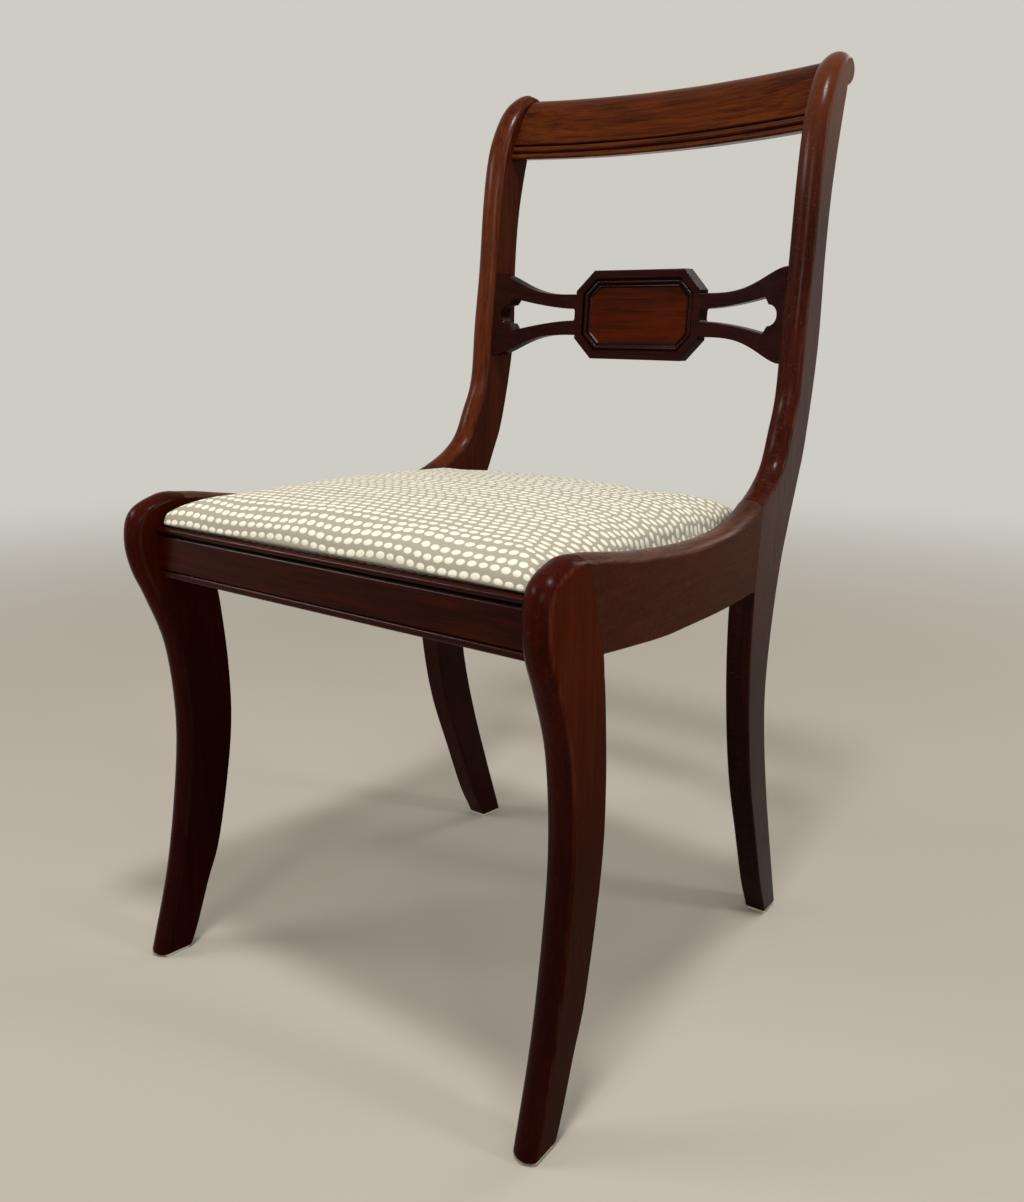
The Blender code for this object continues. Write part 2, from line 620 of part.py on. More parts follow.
def crest_mortise(sign):
    """Cutter for the socket of the crest's tenon in a post."""
    ring = crest_ring(CREST_HALF, tenon=True, grow=GAP)
    mouth = [Vector((sign * (inner_x(p.x) - 2 * GAP), p.x, p.y)) for p in ring]
    floor = [Vector((sign * (inner_x(p.x) + TENON_LENGTH + GAP), p.x, p.y)) for p in ring]
    return loft([mouth, floor])


SPLAT_FRONT = stile_front_at(SPLAT_LEVEL) + SPLAT_SETBACK
SPLAT_HALF = inner_x(SPLAT_FRONT) - GAP
TENON_HEIGHT = SPLAT_END_HEIGHT - 2 * TENON_SHOULDER
SHOULDER_STEP = GAP / 2         # the tenon's shoulder lies in the gap to the post


def splat_depth(x, z):
    """Depth of the splat's front face."""
    bow = SPLAT_BOW * (1 - min(1.0, abs(x) / SPLAT_HALF) ** 2)
    return SPLAT_FRONT + bow + math.tan(SPLAT_LEAN) * (z - SPLAT_LEVEL)


def tablet_outline(inset):
    """Octagon of the tablet, moved in by an inset, as (x, z) points."""
    half_x = TABLET_WIDTH / 2 - inset
    half_z = TABLET_HEIGHT / 2 - inset
    corner = TABLET_CORNER - inset * (2 - math.sqrt(2))
    quarter = [(half_x, half_z - corner), (half_x - corner, half_z)]
    points = []
    for sx, sz, order in ((1, 1, 1), (-1, 1, -1), (-1, -1, 1), (1, -1, -1)):
        points += [(sx * x, sz * z) for x, z in quarter[::order]]
    return [Vector((x, SPLAT_LEVEL + z)) for x, z in points]


def tablet_inset(x, z):
    """How far a point lies inside the tablet's outline."""
    dx = TABLET_WIDTH / 2 - abs(x)
    dz = TABLET_HEIGHT / 2 - abs(z - SPLAT_LEVEL)
    return min(dx, dz, (dx + dz - TABLET_CORNER) / math.sqrt(2))


BEAD_INSET = TABLET_BORDER + TABLET_QUIRK
RELIEF = [
    (0.0, 0.0),
    (TABLET_BORDER, 0.0),
    (BEAD_INSET, 0.75 * TABLET_RECESS),
    (BEAD_INSET + TABLET_BEAD / 2, 0.25 * TABLET_RECESS),
    (BEAD_INSET + TABLET_BEAD, 0.75 * TABLET_RECESS),
    (BEAD_INSET + TABLET_BEAD + TABLET_SLOPE, TABLET_RECESS),
]


def relief_depth(x, z):
    """How far the tablet's moulding lies behind its border."""
    inset = tablet_inset(x, z)
    for (a, low), (b, high) in zip(RELIEF, RELIEF[1:]):
        if a <= inset <= b:
            return low + (high - low) * (inset - a) / (b - a)
    return RELIEF[-1][1] if inset > 0 else 0.0


ARM_START = TABLET_WIDTH / 2
ARM_STEPS = 9


def arm_edge(share):
    """Half the height of an arm, from the tablet (0) to the stile (1)."""
    late = share ** SPLAT_FAN
    swell = late ** 2 * (3 - 2 * late)
    return SPLAT_WAIST_HEIGHT / 2 + (SPLAT_END_HEIGHT - SPLAT_WAIST_HEIGHT) / 2 * swell


def splat_outline():
    """Outline of the splat from the lower right of the tablet round, as (x, z) points."""
    half = []
    corner = tablet_outline(0.0)[1]
    waist = SPLAT_WAIST_HEIGHT / 2
    half.append(Vector((corner.x, corner.y - SPLAT_LEVEL)))
    half.append(Vector((ARM_START, max(waist, TABLET_HEIGHT / 2 - TABLET_CORNER))))
    for step in range(ARM_STEPS + 1):
        share = step / ARM_STEPS
        half.append(Vector((ARM_START + (SPLAT_HALF - ARM_START) * share, arm_edge(share))))
    for reach in (0.0, SHOULDER_STEP, TENON_LENGTH):
        half.append(Vector((SPLAT_HALF + reach, TENON_HEIGHT / 2)))
    upper_right = [Vector((p.x, SPLAT_LEVEL + p.y)) for p in half]
    lower_right = [Vector((p.x, SPLAT_LEVEL - p.y)) for p in half]
    upper_left = [Vector((-p.x, p.y)) for p in upper_right]
    lower_left = [Vector((-p.x, p.y)) for p in lower_right]
    return upper_right + lower_right[::-1] + lower_left + upper_left[::-1]


def slot_outline(sign):
    """Outline of one pierced slot: narrow at the tablet, with a round lobe at the stile."""
    start = ARM_START + SLOT_MARGIN
    shoulder = SPLAT_HALF - SLOT_END
    upper = [(start, 0.30 * SLOT_NARROW), (start + SLOT_ROUND, 0.5 * SLOT_NARROW)]
    for step in range(1, SLOT_STEPS + 1):
        share = step / SLOT_STEPS
        rise = 0.5 * SLOT_NARROW + 0.5 * (SLOT_WIDE - SLOT_NARROW) * share ** 1.6
        upper.append((start + SLOT_ROUND + (shoulder - start - SLOT_ROUND) * share, rise))
    upper.append((shoulder + 0.8 * SLOT_NOTCH, 1.1 * SLOT_LOBE))
    middle = shoulder + SLOT_NOTCH
    for step in range(SLOT_STEPS):
        turn = math.pi / 2 * step / SLOT_STEPS
        upper.append((middle + SLOT_LOBE * math.sin(turn), SLOT_LOBE * math.cos(turn)))
    upper.append((middle + SLOT_LOBE, 0.0))
    lower = [(x, -z) for x, z in upper[:-1]]
    return [Vector((sign * x, SPLAT_LEVEL + z)) for x, z in upper + lower[::-1]]


def splat_shape():
    """Bent board: triangles between the outline, the slots and the moulding, front and back."""
    loops = [splat_outline(), slot_outline(LEFT), slot_outline(RIGHT)]
    loops += [tablet_outline(inset) for inset, depth in RELIEF]
    points, edges = [], []
    for outline in loops:
        start = len(points)
        points += outline
        edges += [(start + i, start + (i + 1) % len(outline)) for i in range(len(outline))]
    for root in (SPLAT_HALF, SPLAT_HALF + SHOULDER_STEP, -SPLAT_HALF, -SPLAT_HALF - SHOULDER_STEP):
        edges.append((len(points), len(points) + 1))
        points += [Vector((root, SPLAT_LEVEL + z)) for z in (-TENON_HEIGHT / 2, TENON_HEIGHT / 2)]
    flat, _, faces, *_ = geometry.delaunay_2d_cdt(points, edges, [], 1, 1e-6)
    kept = [face for face in faces if not in_slot(sum((flat[i] for i in face), Vector((0, 0))) / 3)]
    front = [splat_point(p, 0.0) for p in flat]
    back = [splat_point(p, SPLAT_THICKNESS) for p in flat]
    shift = len(flat)
    skin = [tuple(face) for face in kept] + [tuple(i + shift for i in reversed(face)) for face in kept]
    seen = {}
    for face in kept:
        for i, j in zip(face, face[1:] + face[:1]):
            seen[frozenset((i, j))] = seen.get(frozenset((i, j)), 0) + 1
    for face in kept:
        for i, j in zip(face, face[1:] + face[:1]):
            if seen[frozenset((i, j))] == 1:
                skin.append((j, i, i + shift, j + shift))
    return front + back, skin


def in_slot(point):
    """Whether an (x, z) point lies in one of the two slots."""
    return any(inside(point, slot_outline(sign)) for sign in (LEFT, RIGHT))


def inside(point, outline):
    """Even-odd test of a point against a closed outline."""
    found = False
    for a, b in zip(outline, outline[1:] + outline[:1]):
        if (a.y > point.y) != (b.y > point.y):
            if point.x < a.x + (b.x - a.x) * (point.y - a.y) / (b.y - a.y):
                found = not found
    return found


def splat_point(p, depth):
    """World place of a splat point: depth 0 is the front face."""
    reach = abs(p.x)
    y = splat_depth(p.x, p.y)
    if reach > SPLAT_HALF + SHOULDER_STEP / 2:
        tongue = (SPLAT_THICKNESS - TENON_THICKNESS) / 2
        y += tongue if depth == 0.0 else SPLAT_THICKNESS - tongue
    else:
        y += relief_depth(p.x, p.y) if depth == 0.0 else depth
    x = p.x
    if reach > SPLAT_HALF - SHOULDER_STEP / 2:
        x = math.copysign(reach - SPLAT_HALF + inner_x(y) - GAP, p.x)
    return Vector((x, y, p.y))


def seat_outline(inset):
    """Plan of the drop-in seat: a rounded trapezium whose sides draw in, as (x, y) points."""
    front = SEAT_FRONT + inset
    back = SEAT_BACK - inset
    corners = [(LEFT, front), (RIGHT, front), (RIGHT, back), (LEFT, back)]
    corners = [Vector((sign * (inner_x(y) - SEAT_CLEARANCE - inset), y)) for sign, y in corners]
    radius = max(SEAT_CORNER - inset, 0.15 * SEAT_CORNER)
    outline = []
    for index, corner in enumerate(corners):
        before = (corners[index - 1] - corner).normalized()
        after = (corners[(index + 1) % 4] - corner).normalized()
        start, end = corner + before * radius, corner + after * radius
        for step in range(SEAT_CORNER_STEPS + 1):
            t = step / SEAT_CORNER_STEPS
            outline.append(start * (1 - t) ** 2 + corner * 2 * t * (1 - t) + end * t ** 2)
        side_end = corners[(index + 1) % 4] - after * radius
        inward = Vector((-after.y, after.x))
        for step in range(1, SEAT_SIDE_STEPS):
            t = step / SEAT_SIDE_STEPS
            draw = SEAT_DRAW * (1 - (2 * t - 1) ** 2)
            outline.append(end.lerp(side_end, t) + inward * draw)
    return outline


SEAT_FRONT = FRONT_RAIL_Y + FRONT_LIP + SEAT_CLEARANCE
SEAT_BACK = BACK_LIP_Y - SEAT_CLEARANCE
DUST_Z = LEDGE_Z + GAP
FRAME_Z = DUST_Z + DUST_COVER_THICKNESS + GAP
FRAME_TOP = FRAME_Z + SEAT_FRAME_THICKNESS
WEB_TOP = FRAME_TOP + 2 * (GAP + WEB_THICKNESS)
FRAME_INSET = COVER_THICKNESS + GAP
SEAT_MIDDLE = Vector((0.0, (SEAT_FRONT + SEAT_BACK) / 2))
SEAT_TOP = WEB_TOP + GAP + SEAT_CROWN + COVER_THICKNESS
DOME_SHARES = (0.10, 0.24, 0.42, 0.64, 0.84)


def dome_rings(skin, bottom):
    """Rings of the seat's crowned form, a skin's depth inside it, from its bottom edge upwards."""
    edge_top = SEAT_TOP - 0.60 * SEAT_CROWN
    levels = [(0.0, bottom), (0.0, edge_top - SEAT_EDGE)]
    for step in (1, 2, 3):
        turn = math.pi / 2 * step / 3
        levels.append((SEAT_EDGE * (1 - math.cos(turn)), edge_top - SEAT_EDGE * (1 - math.sin(turn))))
    rings = []
    for inset, z in levels:
        top = z - skin if z > bottom else z
        rings.append([Vector((p.x, p.y, top)) for p in seat_outline(inset + skin)])
    rim = seat_outline(SEAT_EDGE + skin)
    for share in DOME_SHARES:
        z = edge_top + (SEAT_TOP - edge_top) * (1 - (1 - share) ** 2)
        rings.append([Vector((*SEAT_MIDDLE.lerp(p, 1 - share), z - skin)) for p in rim])
    return rings


def cover_shape():
    """The fabric: an outer and an inner dome joined along the bottom edge."""
    outer = dome_rings(0.0, FRAME_Z)
    inner = dome_rings(COVER_THICKNESS, FRAME_Z)
    return loft(outer[::-1] + inner)


def box(low, high):
    """Points and faces of an upright box."""
    outline = [(low[0], low[1]), (high[0], low[1]), (high[0], high[1]), (low[0], high[1])]
    return prism(outline, low[2], high[2])


# Empties that carry the pieces: the chair stands at the origin, the seat lifts along its own
chair = bpy.data.objects.new("chair", None)
seat = bpy.data.objects.new("seat_lift_axis", None)
seat.location = (SEAT_MIDDLE.x, SEAT_MIDDLE.y, DUST_Z)
for empty in (chair, seat):
    bpy.context.scene.collection.objects.link(empty)
seat.parent = chair


def place(made, holder=chair):
    """Parent a piece to its empty and keep it where it was modelled."""
    made.parent = holder
    made.data.transform(made.matrix_world)
    shift = holder.location if holder is seat else Vector((0, 0, 0))
    for vert in made.data.vertices:
        vert.co -= shift
    return made


def piece(name, shape, finish, holder=chair, smooth=False):
    verts, faces = shape
    return place(add_object(name, verts, faces, finish, smooth), holder)


# Sides of the chair
def side_parts(name, sign):
    leg_front = smooth_curve(LEG_FRONT, (TOE_Y - FOOT_LENGTH / 3, UNDER_FLOOR), RAIL_UPPER[1])
    leg_rear = smooth_curve(LEG_REAR, (KNEE_Y + 0.777 * LEG_DEPTH, RAIL_TOP), (TOE_Y, UNDER_FLOOR))
    upper = smooth_curve(RAIL_UPPER, LEG_FRONT[-2], POST_FRONT[1])
    lower = smooth_curve(RAIL_LOWER, (POST_Y + 0.177 * BACK_SWEEP, RAIL_BOTTOM),
                         (KNEE_Y + 0.478 * LEG_DEPTH, RAIL_BOTTOM + 0.323 * RAIL_DEPTH))
    leg_way = (Vector(LEG_JOINT_HIGH) - Vector(LEG_JOINT_LOW)).normalized()
    post_way = (Vector(POST_JOINT_HIGH) - Vector(POST_JOINT_LOW)).normalized()
    leg = place(board("front_leg_" + name, sign, leg_front, leg_rear, FORWARDS, leg_way,
                      thin_outside=True))
    shorten_ends(upper, lower)
    rail = place(board("side_rail_" + name, sign, upper, lower, leg_way, post_way))
    scroll_end = (POST_Y + 0.821 * BACK_SWEEP, BACK_TOP - SCROLL)
    scroll = smooth_curve(POST_SCROLL, POST_FRONT[-2], scroll_end, steps=3)
    rear = smooth_curve(POST_REAR, POST_FRONT[-1], (HEEL_Y + FOOT_LENGTH / 3, UNDER_FLOOR), steps=4)
    shin = smooth_curve(POST_LEG_FRONT, (HEEL_Y - 2 * FOOT_LENGTH / 3, UNDER_FLOOR),
                        (POST_Y - 0.035 * BACK_SWEEP, RAIL_TOP), steps=4)
    post = place(board("back_post_" + name, sign, stile_front, scroll[1:] + rear[1:] + shin,
                       post_way, UPWARDS))
    blocks = {end: SCREWS[end, name][0] for end in ("front", "back")}
    cut(leg, [hole(ends, sign) for ends in LEG_DOWELS + FRONT_DOWELS])
    cut(rail, [hole(ends, sign) for ends in LEG_DOWELS + POST_DOWELS]
        + [screw_hole(pair) for pair in blocks.values()])
    cut(post, [hole(ends, sign) for ends in POST_DOWELS + BACK_DOWELS]
        + [crest_mortise(sign), splat_mortise(sign)])


def shorten_ends(upper, lower):
    """Pull the side rail's ends back from the leg and the post by the joint gap."""
    upper[0] = offset_along(upper[0], upper[1], GAP)
    upper[-1] = offset_along(upper[-1], upper[-2], GAP)
    lower[0] = offset_along(lower[0], lower[1], GAP)
    lower[-1] = offset_along(lower[-1], lower[-2], GAP)


def splat_mortise(sign):
    """Cutter for the socket of the splat's tenon in a post."""
    rings = []
    for reach in (-2 * GAP, TENON_LENGTH + GAP):
        ring = []
        for depth, z in ((0, -1), (1, -1), (1, 1), (0, 1)):
            height = SPLAT_LEVEL + z * (TENON_HEIGHT / 2 + GAP)
            tongue = (SPLAT_THICKNESS + (2 * depth - 1) * (TENON_THICKNESS + 2 * GAP)) / 2
            y = splat_depth(SPLAT_HALF, height) + tongue
            ring.append(Vector((sign * (inner_x(y) + reach), y, height)))
        rings.append(ring)
    return loft(rings)


for side_name, side_sign in SIDES.items():
    side_parts(side_name, side_sign)


# Cross rails
def cross_rail(name, profile, dowels, screws):
    """A straight rail between the inner faces, from a (y, z) profile."""
    rings = [[Vector((end * (inner_x(y) - GAP), y, z)) for y, z in profile] for end in (LEFT, RIGHT)]
    rail = piece(name, loft(rings), MAHOGANY)
    cuts = [hole(ends, sign) for ends in dowels for sign in (LEFT, RIGHT)]
    cut(rail, cuts + [screw_hole(pair) for pair in screws])


def front_rail_profile():
    """Profile with a bead along the top and the bottom edge, and the ledge behind the lip."""
    face = FRONT_RAIL_Y
    low = FRONT_RAIL_BOTTOM
    high = FRONT_RAIL_TOP
    groove = face + BEAD_QUIRK
    proud = face - BEAD_PROUD
    lip = face + FRONT_LIP
    return [
        (face + BEAD_ROUND / 2, low), (proud, low + BEAD_ROUND), (proud, low + BEAD - BEAD_ROUND),
        (groove, low + BEAD), (face, low + BEAD + BEAD_QUIRK),
        (face, high - BEAD - 2 * BEAD_QUIRK), (groove, high - BEAD - BEAD_QUIRK), (groove, high - BEAD),
        (proud, high - BEAD + BEAD_ROUND), (proud, high - BEAD_ROUND), (face + BEAD_ROUND, high),
        (lip - BEAD_ROUND / 2, high), (lip, high - BEAD_ROUND / 2), (lip, LEDGE_Z),
        (FRONT_RAIL_REAR, LEDGE_Z), (FRONT_RAIL_REAR, low),
    ]


def back_rail_profile():
    """Plain rail with a ledge for the seat along its front."""
    rear = BACK_RAIL_Y + BACK_RAIL_THICKNESS
    return [(BACK_RAIL_Y, BACK_RAIL_BOTTOM), (BACK_RAIL_Y, LEDGE_Z), (BACK_LIP_Y, LEDGE_Z),
            (BACK_LIP_Y, BACK_RAIL_TOP), (rear, BACK_RAIL_TOP), (rear, BACK_RAIL_BOTTOM)]


for end_name, profile, dowels in (("front", front_rail_profile(), FRONT_DOWELS),
                                  ("back", back_rail_profile(), BACK_DOWELS)):
    cross_rail(end_name + "_rail", profile, dowels, [SCREWS[end_name, side][1] for side in SIDES])

piece("crest_rail", crest_shape(), MAHOGANY, smooth=True)
piece("back_splat", splat_shape(), MAHOGANY)

# Dowels
for side_name, side_sign in SIDES.items():
    for joint, dowels in (("leg", LEG_DOWELS), ("post", POST_DOWELS),
                          ("front", FRONT_DOWELS), ("back", BACK_DOWELS)):
        for number, ends in enumerate(dowels, start=1):
            start, end = (mirrored(p, side_sign) for p in ends)
            piece(f"dowel_{joint}_{side_name}_{number}", rod(start, end, DOWEL_RADIUS), BEECH, smooth=True)

# Corner blocks, screws and bearers
for side_name, side_sign in SIDES.items():
    for end_name, (corner_y, way) in block_corners().items():
        outline = block_outline(corner_y, way, side_sign)
        shape = prism(outline, LEDGE_Z - BLOCK_HEIGHT, LEDGE_Z)
        block = piece(f"corner_block_{end_name}_{side_name}", shape, BEECH)
        pairs = SCREWS[end_name, side_name]
        cut(block, [screw_hole(pair) for pair in pairs])
        for number, (start, end) in enumerate(pairs, start=1):
            shape = rod(start, end, SCREW_RADIUS, SCREW_HEAD_RADIUS, SCREW_HEAD_HEIGHT)
            piece(f"corner_screw_{end_name}_{side_name}_{number}", shape, STEEL, smooth=True)
    bearer = []
    for y, inward in ((FRONT_RAIL_REAR + BLOCK_ARM, 0), (FRONT_RAIL_REAR + BLOCK_ARM, BEARER_WIDTH),
                      (BACK_RAIL_Y - BLOCK_ARM, BEARER_WIDTH), (BACK_RAIL_Y - BLOCK_ARM, 0)):
        inset = 2 * GAP if y < SEAT_MIDDLE.y else -2 * GAP
        bearer.append((side_sign * (inner_x(y) - GAP - inward), y + inset))
    piece("seat_bearer_" + side_name, prism(bearer, LEDGE_Z - BEARER_HEIGHT, LEDGE_Z), BEECH)

# Felt pads under the feet: the front legs thin on their outside, the posts on their inside
for side_name, side_sign in SIDES.items():
    for end_name, front_y, outside in (("front", TOE_Y, FOOT_TAPER), ("back", HEEL_Y - FOOT_LENGTH, 0.0)):
        near = front_y + PAD_MARGIN
        far = front_y + FOOT_LENGTH - PAD_MARGIN
        shallow = outside + PAD_MARGIN
        deep = outside + FOOT_BOARD - PAD_MARGIN
        corners = ((near, shallow), (far, shallow), (far, deep), (near, deep))
        outline = [(side_sign * (side_x(y) - inset), y) for y, inset in corners]
        piece(f"foot_pad_{end_name}_{side_name}", prism(outline, 0.0, PAD_THICKNESS), FELT)

# Drop-in seat
INNER_FRONT = SEAT_FRONT + FRAME_INSET + SEAT_FRAME_WIDTH
INNER_BACK = SEAT_BACK - FRAME_INSET - SEAT_FRAME_WIDTH
FRAME_CORNER = SEAT_CORNER / 3  # chamfer that keeps the frame inside the fabric's round corners


def frame_x(y):
    """Half the width of the seat frame, inside the fabric, at depth y."""
    return inner_x(y) - SEAT_CLEARANCE - FRAME_INSET - SEAT_DRAW


def end_member(outer_y, inner_y):
    """Plan of the seat frame's front or back member, with its outer corners cut off."""
    towards = math.copysign(FRAME_CORNER, inner_y - outer_y)
    half = [(frame_x(outer_y) - FRAME_CORNER, outer_y), (frame_x(outer_y + towards), outer_y + towards),
            (frame_x(inner_y), inner_y)]
    return half + [(-x, y) for x, y in reversed(half)]


for end_name, outline in (
        ("front", end_member(SEAT_FRONT + FRAME_INSET + SEAT_DRAW, INNER_FRONT)),
        ("back", end_member(SEAT_BACK - FRAME_INSET - SEAT_DRAW, INNER_BACK))):
    piece("seat_frame_" + end_name, prism(outline, FRAME_Z, FRAME_TOP), BEECH, seat)
for side_name, side_sign in SIDES.items():
    near, far = INNER_FRONT + GAP, INNER_BACK - GAP
    outline = [(side_sign * frame_x(near), near), (side_sign * frame_x(far), far),
               (side_sign * (frame_x(far) - SEAT_FRAME_WIDTH), far),
               (side_sign * (frame_x(near) - SEAT_FRAME_WIDTH), near)]
    piece("seat_frame_" + side_name, prism(outline, FRAME_Z, FRAME_TOP), BEECH, seat)

# Webbing: one layer from front to back, and one across on top of it
WEB_LAP = SEAT_FRAME_WIDTH / 2
for number in range(WEB_COUNT):
    share = (number + 1) / (WEB_COUNT + 1)
    clear_half = frame_x(INNER_BACK) - SEAT_FRAME_WIDTH
    x = clear_half * (2 * share - 1) * 1.1
    low = FRAME_TOP + GAP
    shape = box((x - WEB_WIDTH / 2, INNER_FRONT - WEB_LAP, low),
                (x + WEB_WIDTH / 2, INNER_BACK + WEB_LAP, low + WEB_THICKNESS))
    piece(f"webbing_long_{number + 1}", shape, JUTE, seat)
    y = INNER_FRONT + (INNER_BACK - INNER_FRONT) * share
    reach = frame_x(y) - WEB_LAP
    low += WEB_THICKNESS + GAP
    shape = box((-reach, y - WEB_WIDTH / 2, low), (reach, y + WEB_WIDTH / 2, low + WEB_THICKNESS))
    piece(f"webbing_cross_{number + 1}", shape, JUTE, seat)

# Stuffing, fabric and dust cover
stuffing = dome_rings(COVER_THICKNESS + 2 * GAP, WEB_TOP + GAP)
piece("seat_stuffing", loft(stuffing[:1] + stuffing[2:]), FOAM, seat, smooth=True)
piece("seat_cover", cover_shape(), FABRIC, seat, smooth=True)
dust = [(p.x, p.y) for p in seat_outline(FRAME_INSET + SEAT_DRAW)]
piece("dust_cover", prism(dust, DUST_Z, DUST_Z + DUST_COVER_THICKNESS), LINING, seat)
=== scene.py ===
# %% [markdown]
# # A dining chair with sabre legs
# This lesson dresses a chair whose joinery already exists as a CAD frame. The real chair is polished
# mahogany: two curved sides, a bowed crest rail, a splat with a moulded tablet, and a seat in dotted
# fabric that drops into the rails. We load the frame, set up the photograph's view, then model and
# finish the pieces one by one.

# %% Load the frame
import math
from functools import partial

import bmesh
import bpy
from mathutils import Euler, Matrix, Vector, noise
from mathutils.bvhtree import BVHTree


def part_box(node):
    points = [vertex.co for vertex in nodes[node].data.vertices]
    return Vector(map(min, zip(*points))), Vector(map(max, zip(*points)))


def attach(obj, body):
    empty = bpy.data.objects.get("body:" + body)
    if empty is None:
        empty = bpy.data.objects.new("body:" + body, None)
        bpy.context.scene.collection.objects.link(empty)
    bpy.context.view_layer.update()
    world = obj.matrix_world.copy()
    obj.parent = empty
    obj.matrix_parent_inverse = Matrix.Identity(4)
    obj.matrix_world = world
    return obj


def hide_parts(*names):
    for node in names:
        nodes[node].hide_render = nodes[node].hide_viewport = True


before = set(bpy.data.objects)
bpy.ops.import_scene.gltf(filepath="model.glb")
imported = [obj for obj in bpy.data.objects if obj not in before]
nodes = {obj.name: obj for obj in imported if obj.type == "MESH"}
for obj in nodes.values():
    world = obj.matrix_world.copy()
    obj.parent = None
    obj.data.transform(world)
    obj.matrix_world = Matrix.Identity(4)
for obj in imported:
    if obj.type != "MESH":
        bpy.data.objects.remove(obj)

MM = 0.001
scene = bpy.context.scene
scene.view_settings.view_transform = "Standard"
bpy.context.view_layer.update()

# %% [markdown]
# ## The camera
# A camera that stands where the photographer stood shows the chair as the photograph does. Its place
# and turn were solved from points of the chair that can be recognised in the photograph. The focal
# length is known in pixels, so the lens follows from the height of the picture.

# %% Camera
PHOTO_HEIGHT = 1202
FOCAL_PIXELS = 1133.42
CAMERA_PLACE = (0.6571, -0.8382, 0.6053)
CAMERA_YAW = math.radians(38.12)
CAMERA_PITCH = math.radians(13.96)
CAMERA_ROLL = math.radians(0.38)

level_turn = Euler((math.pi / 2 - CAMERA_PITCH, 0, CAMERA_YAW)).to_matrix()
camera_turn = level_turn @ Matrix.Rotation(CAMERA_ROLL, 3, "Z")
bpy.ops.object.select_all(action="DESELECT")
bpy.ops.object.camera_add(location=CAMERA_PLACE, rotation=camera_turn.to_euler())
camera = bpy.context.active_object
camera.data.lens = camera.data.sensor_width * FOCAL_PIXELS / PHOTO_HEIGHT
scene.camera = camera
print(f"lens {camera.data.lens:.1f} mm")

# %% [markdown]
# ## Colours and shader nodes
# Colours are easiest to read as the hex values of a picture, but shaders work in linear light, so one
# function turns the one into the other. A second function adds a node with its settings and links,
# which keeps each material below short enough to read like a recipe.

# %% Colour and node helpers
def linear(hex_code):
    """An sRGB hex colour as linear RGBA."""
    channels = [int(hex_code[start:start + 2], 16) / 255 for start in (1, 3, 5)]
    return [c / 12.92 if c <= 0.04045 else ((c + 0.055) / 1.055) ** 2.4 for c in channels] + [1.0]


def add_node(tree, kind, inputs=None, output=0, **settings):
    """Add a shader node and give one of its outputs. An input is a value, or an output to link to it."""
    made = tree.nodes.new("ShaderNode" + kind)
    for name, value in settings.items():
        setattr(made, name, value)
    for socket, value in (inputs or {}).items():
        if isinstance(value, bpy.types.NodeSocket):
            tree.links.new(value, made.inputs[socket])
        else:
            made.inputs[socket].default_value = value
    return made.outputs[output]


def new_material(name):
    """A new material, a shorthand that adds nodes to it, a shorthand that links them, and its shader."""
    made = bpy.data.materials.new(name)
    made.use_nodes = True
    tree = made.node_tree
    return made, partial(add_node, tree), tree.links.new, tree.nodes["Principled BSDF"]


print("linear mid grey", linear("#808080")[0])

# %% [markdown]
# ## Floor, room and lamps
# Polished wood shows its surroundings, so the studio matters as much as the varnish. A pale room and
# a pale floor give soft reflections, and the floor melts into the room like a photographer's paper
# roll, so that no horizon cuts through the chair. Six area lamps face the chair, and the polish mirrors
# them as the highlights on knees, beads and stiles.

# %% Floor and pale room
FLOOR_SIZE = 60
FLOOR_COLOUR = "#ABA398"        # matt paint, which shows the shadow and mirrors nothing
FLOOR_NEAR = 0.8                # the floor melts into the room between these distances
FLOOR_FAR = 3.2
ROOM_COLOUR = "#DEDBD2"
ROOM_LIGHT = 0.56               # strength of the room as light on the chair
ROOM_SEEN = 0.85                # strength of the room as a background, also in reflections


def background_rays(node):
    """1 for rays that show the background to the eye, straight or by way of gloss or glass, else 0."""
    shown = node("LightPath", output="Is Camera Ray")
    for ray in ("Is Glossy Ray", "Is Transmission Ray"):
        shown = node("Math", {0: shown, 1: node("LightPath", output=ray)}, operation="MAXIMUM")
    return shown


bpy.ops.object.select_all(action="DESELECT")
bpy.ops.mesh.primitive_plane_add(size=FLOOR_SIZE)
floor = bpy.context.active_object
floor.name = "floor"
floor_paint, node, link, floor_shader = new_material("matt floor paint")
distance = node("VectorMath", {0: node("TexCoord", output="Object")}, "Value", operation="LENGTH")
far = node("MapRange", {0: distance, 1: FLOOR_NEAR, 2: FLOOR_FAR}, interpolation_type="SMOOTHSTEP")
melted = node("Math", {0: far, 1: background_rays(node)}, operation="MULTIPLY")
paint = node("Mix", {0: melted, 6: linear(FLOOR_COLOUR), 7: linear("#000000")}, 2, data_type="RGBA")
link(paint, floor_shader.inputs["Base Color"])
glow = node("Math", {0: melted, 1: ROOM_SEEN}, operation="MULTIPLY")
link(glow, floor_shader.inputs["Emission Strength"])
floor_shader.inputs["Emission Color"].default_value = linear(ROOM_COLOUR)
floor_shader.inputs["Specular IOR Level"].default_value = 0.0
floor.data.materials.append(floor_paint)

room = bpy.data.worlds.new("pale room")
scene.world = room
room.use_nodes = True
room_light = room.node_tree.nodes["Background"]
room_light.inputs["Color"].default_value = linear(ROOM_COLOUR)
node = partial(add_node, room.node_tree)
strength = node("MapRange", {0: background_rays(node), 3: ROOM_LIGHT, 4: ROOM_SEEN})
room.node_tree.links.new(strength, room_light.inputs["Strength"])
print("floor and room ready")

# %% Lamps
CHAIR_MIDDLE = Vector((0, 0, 0.42))
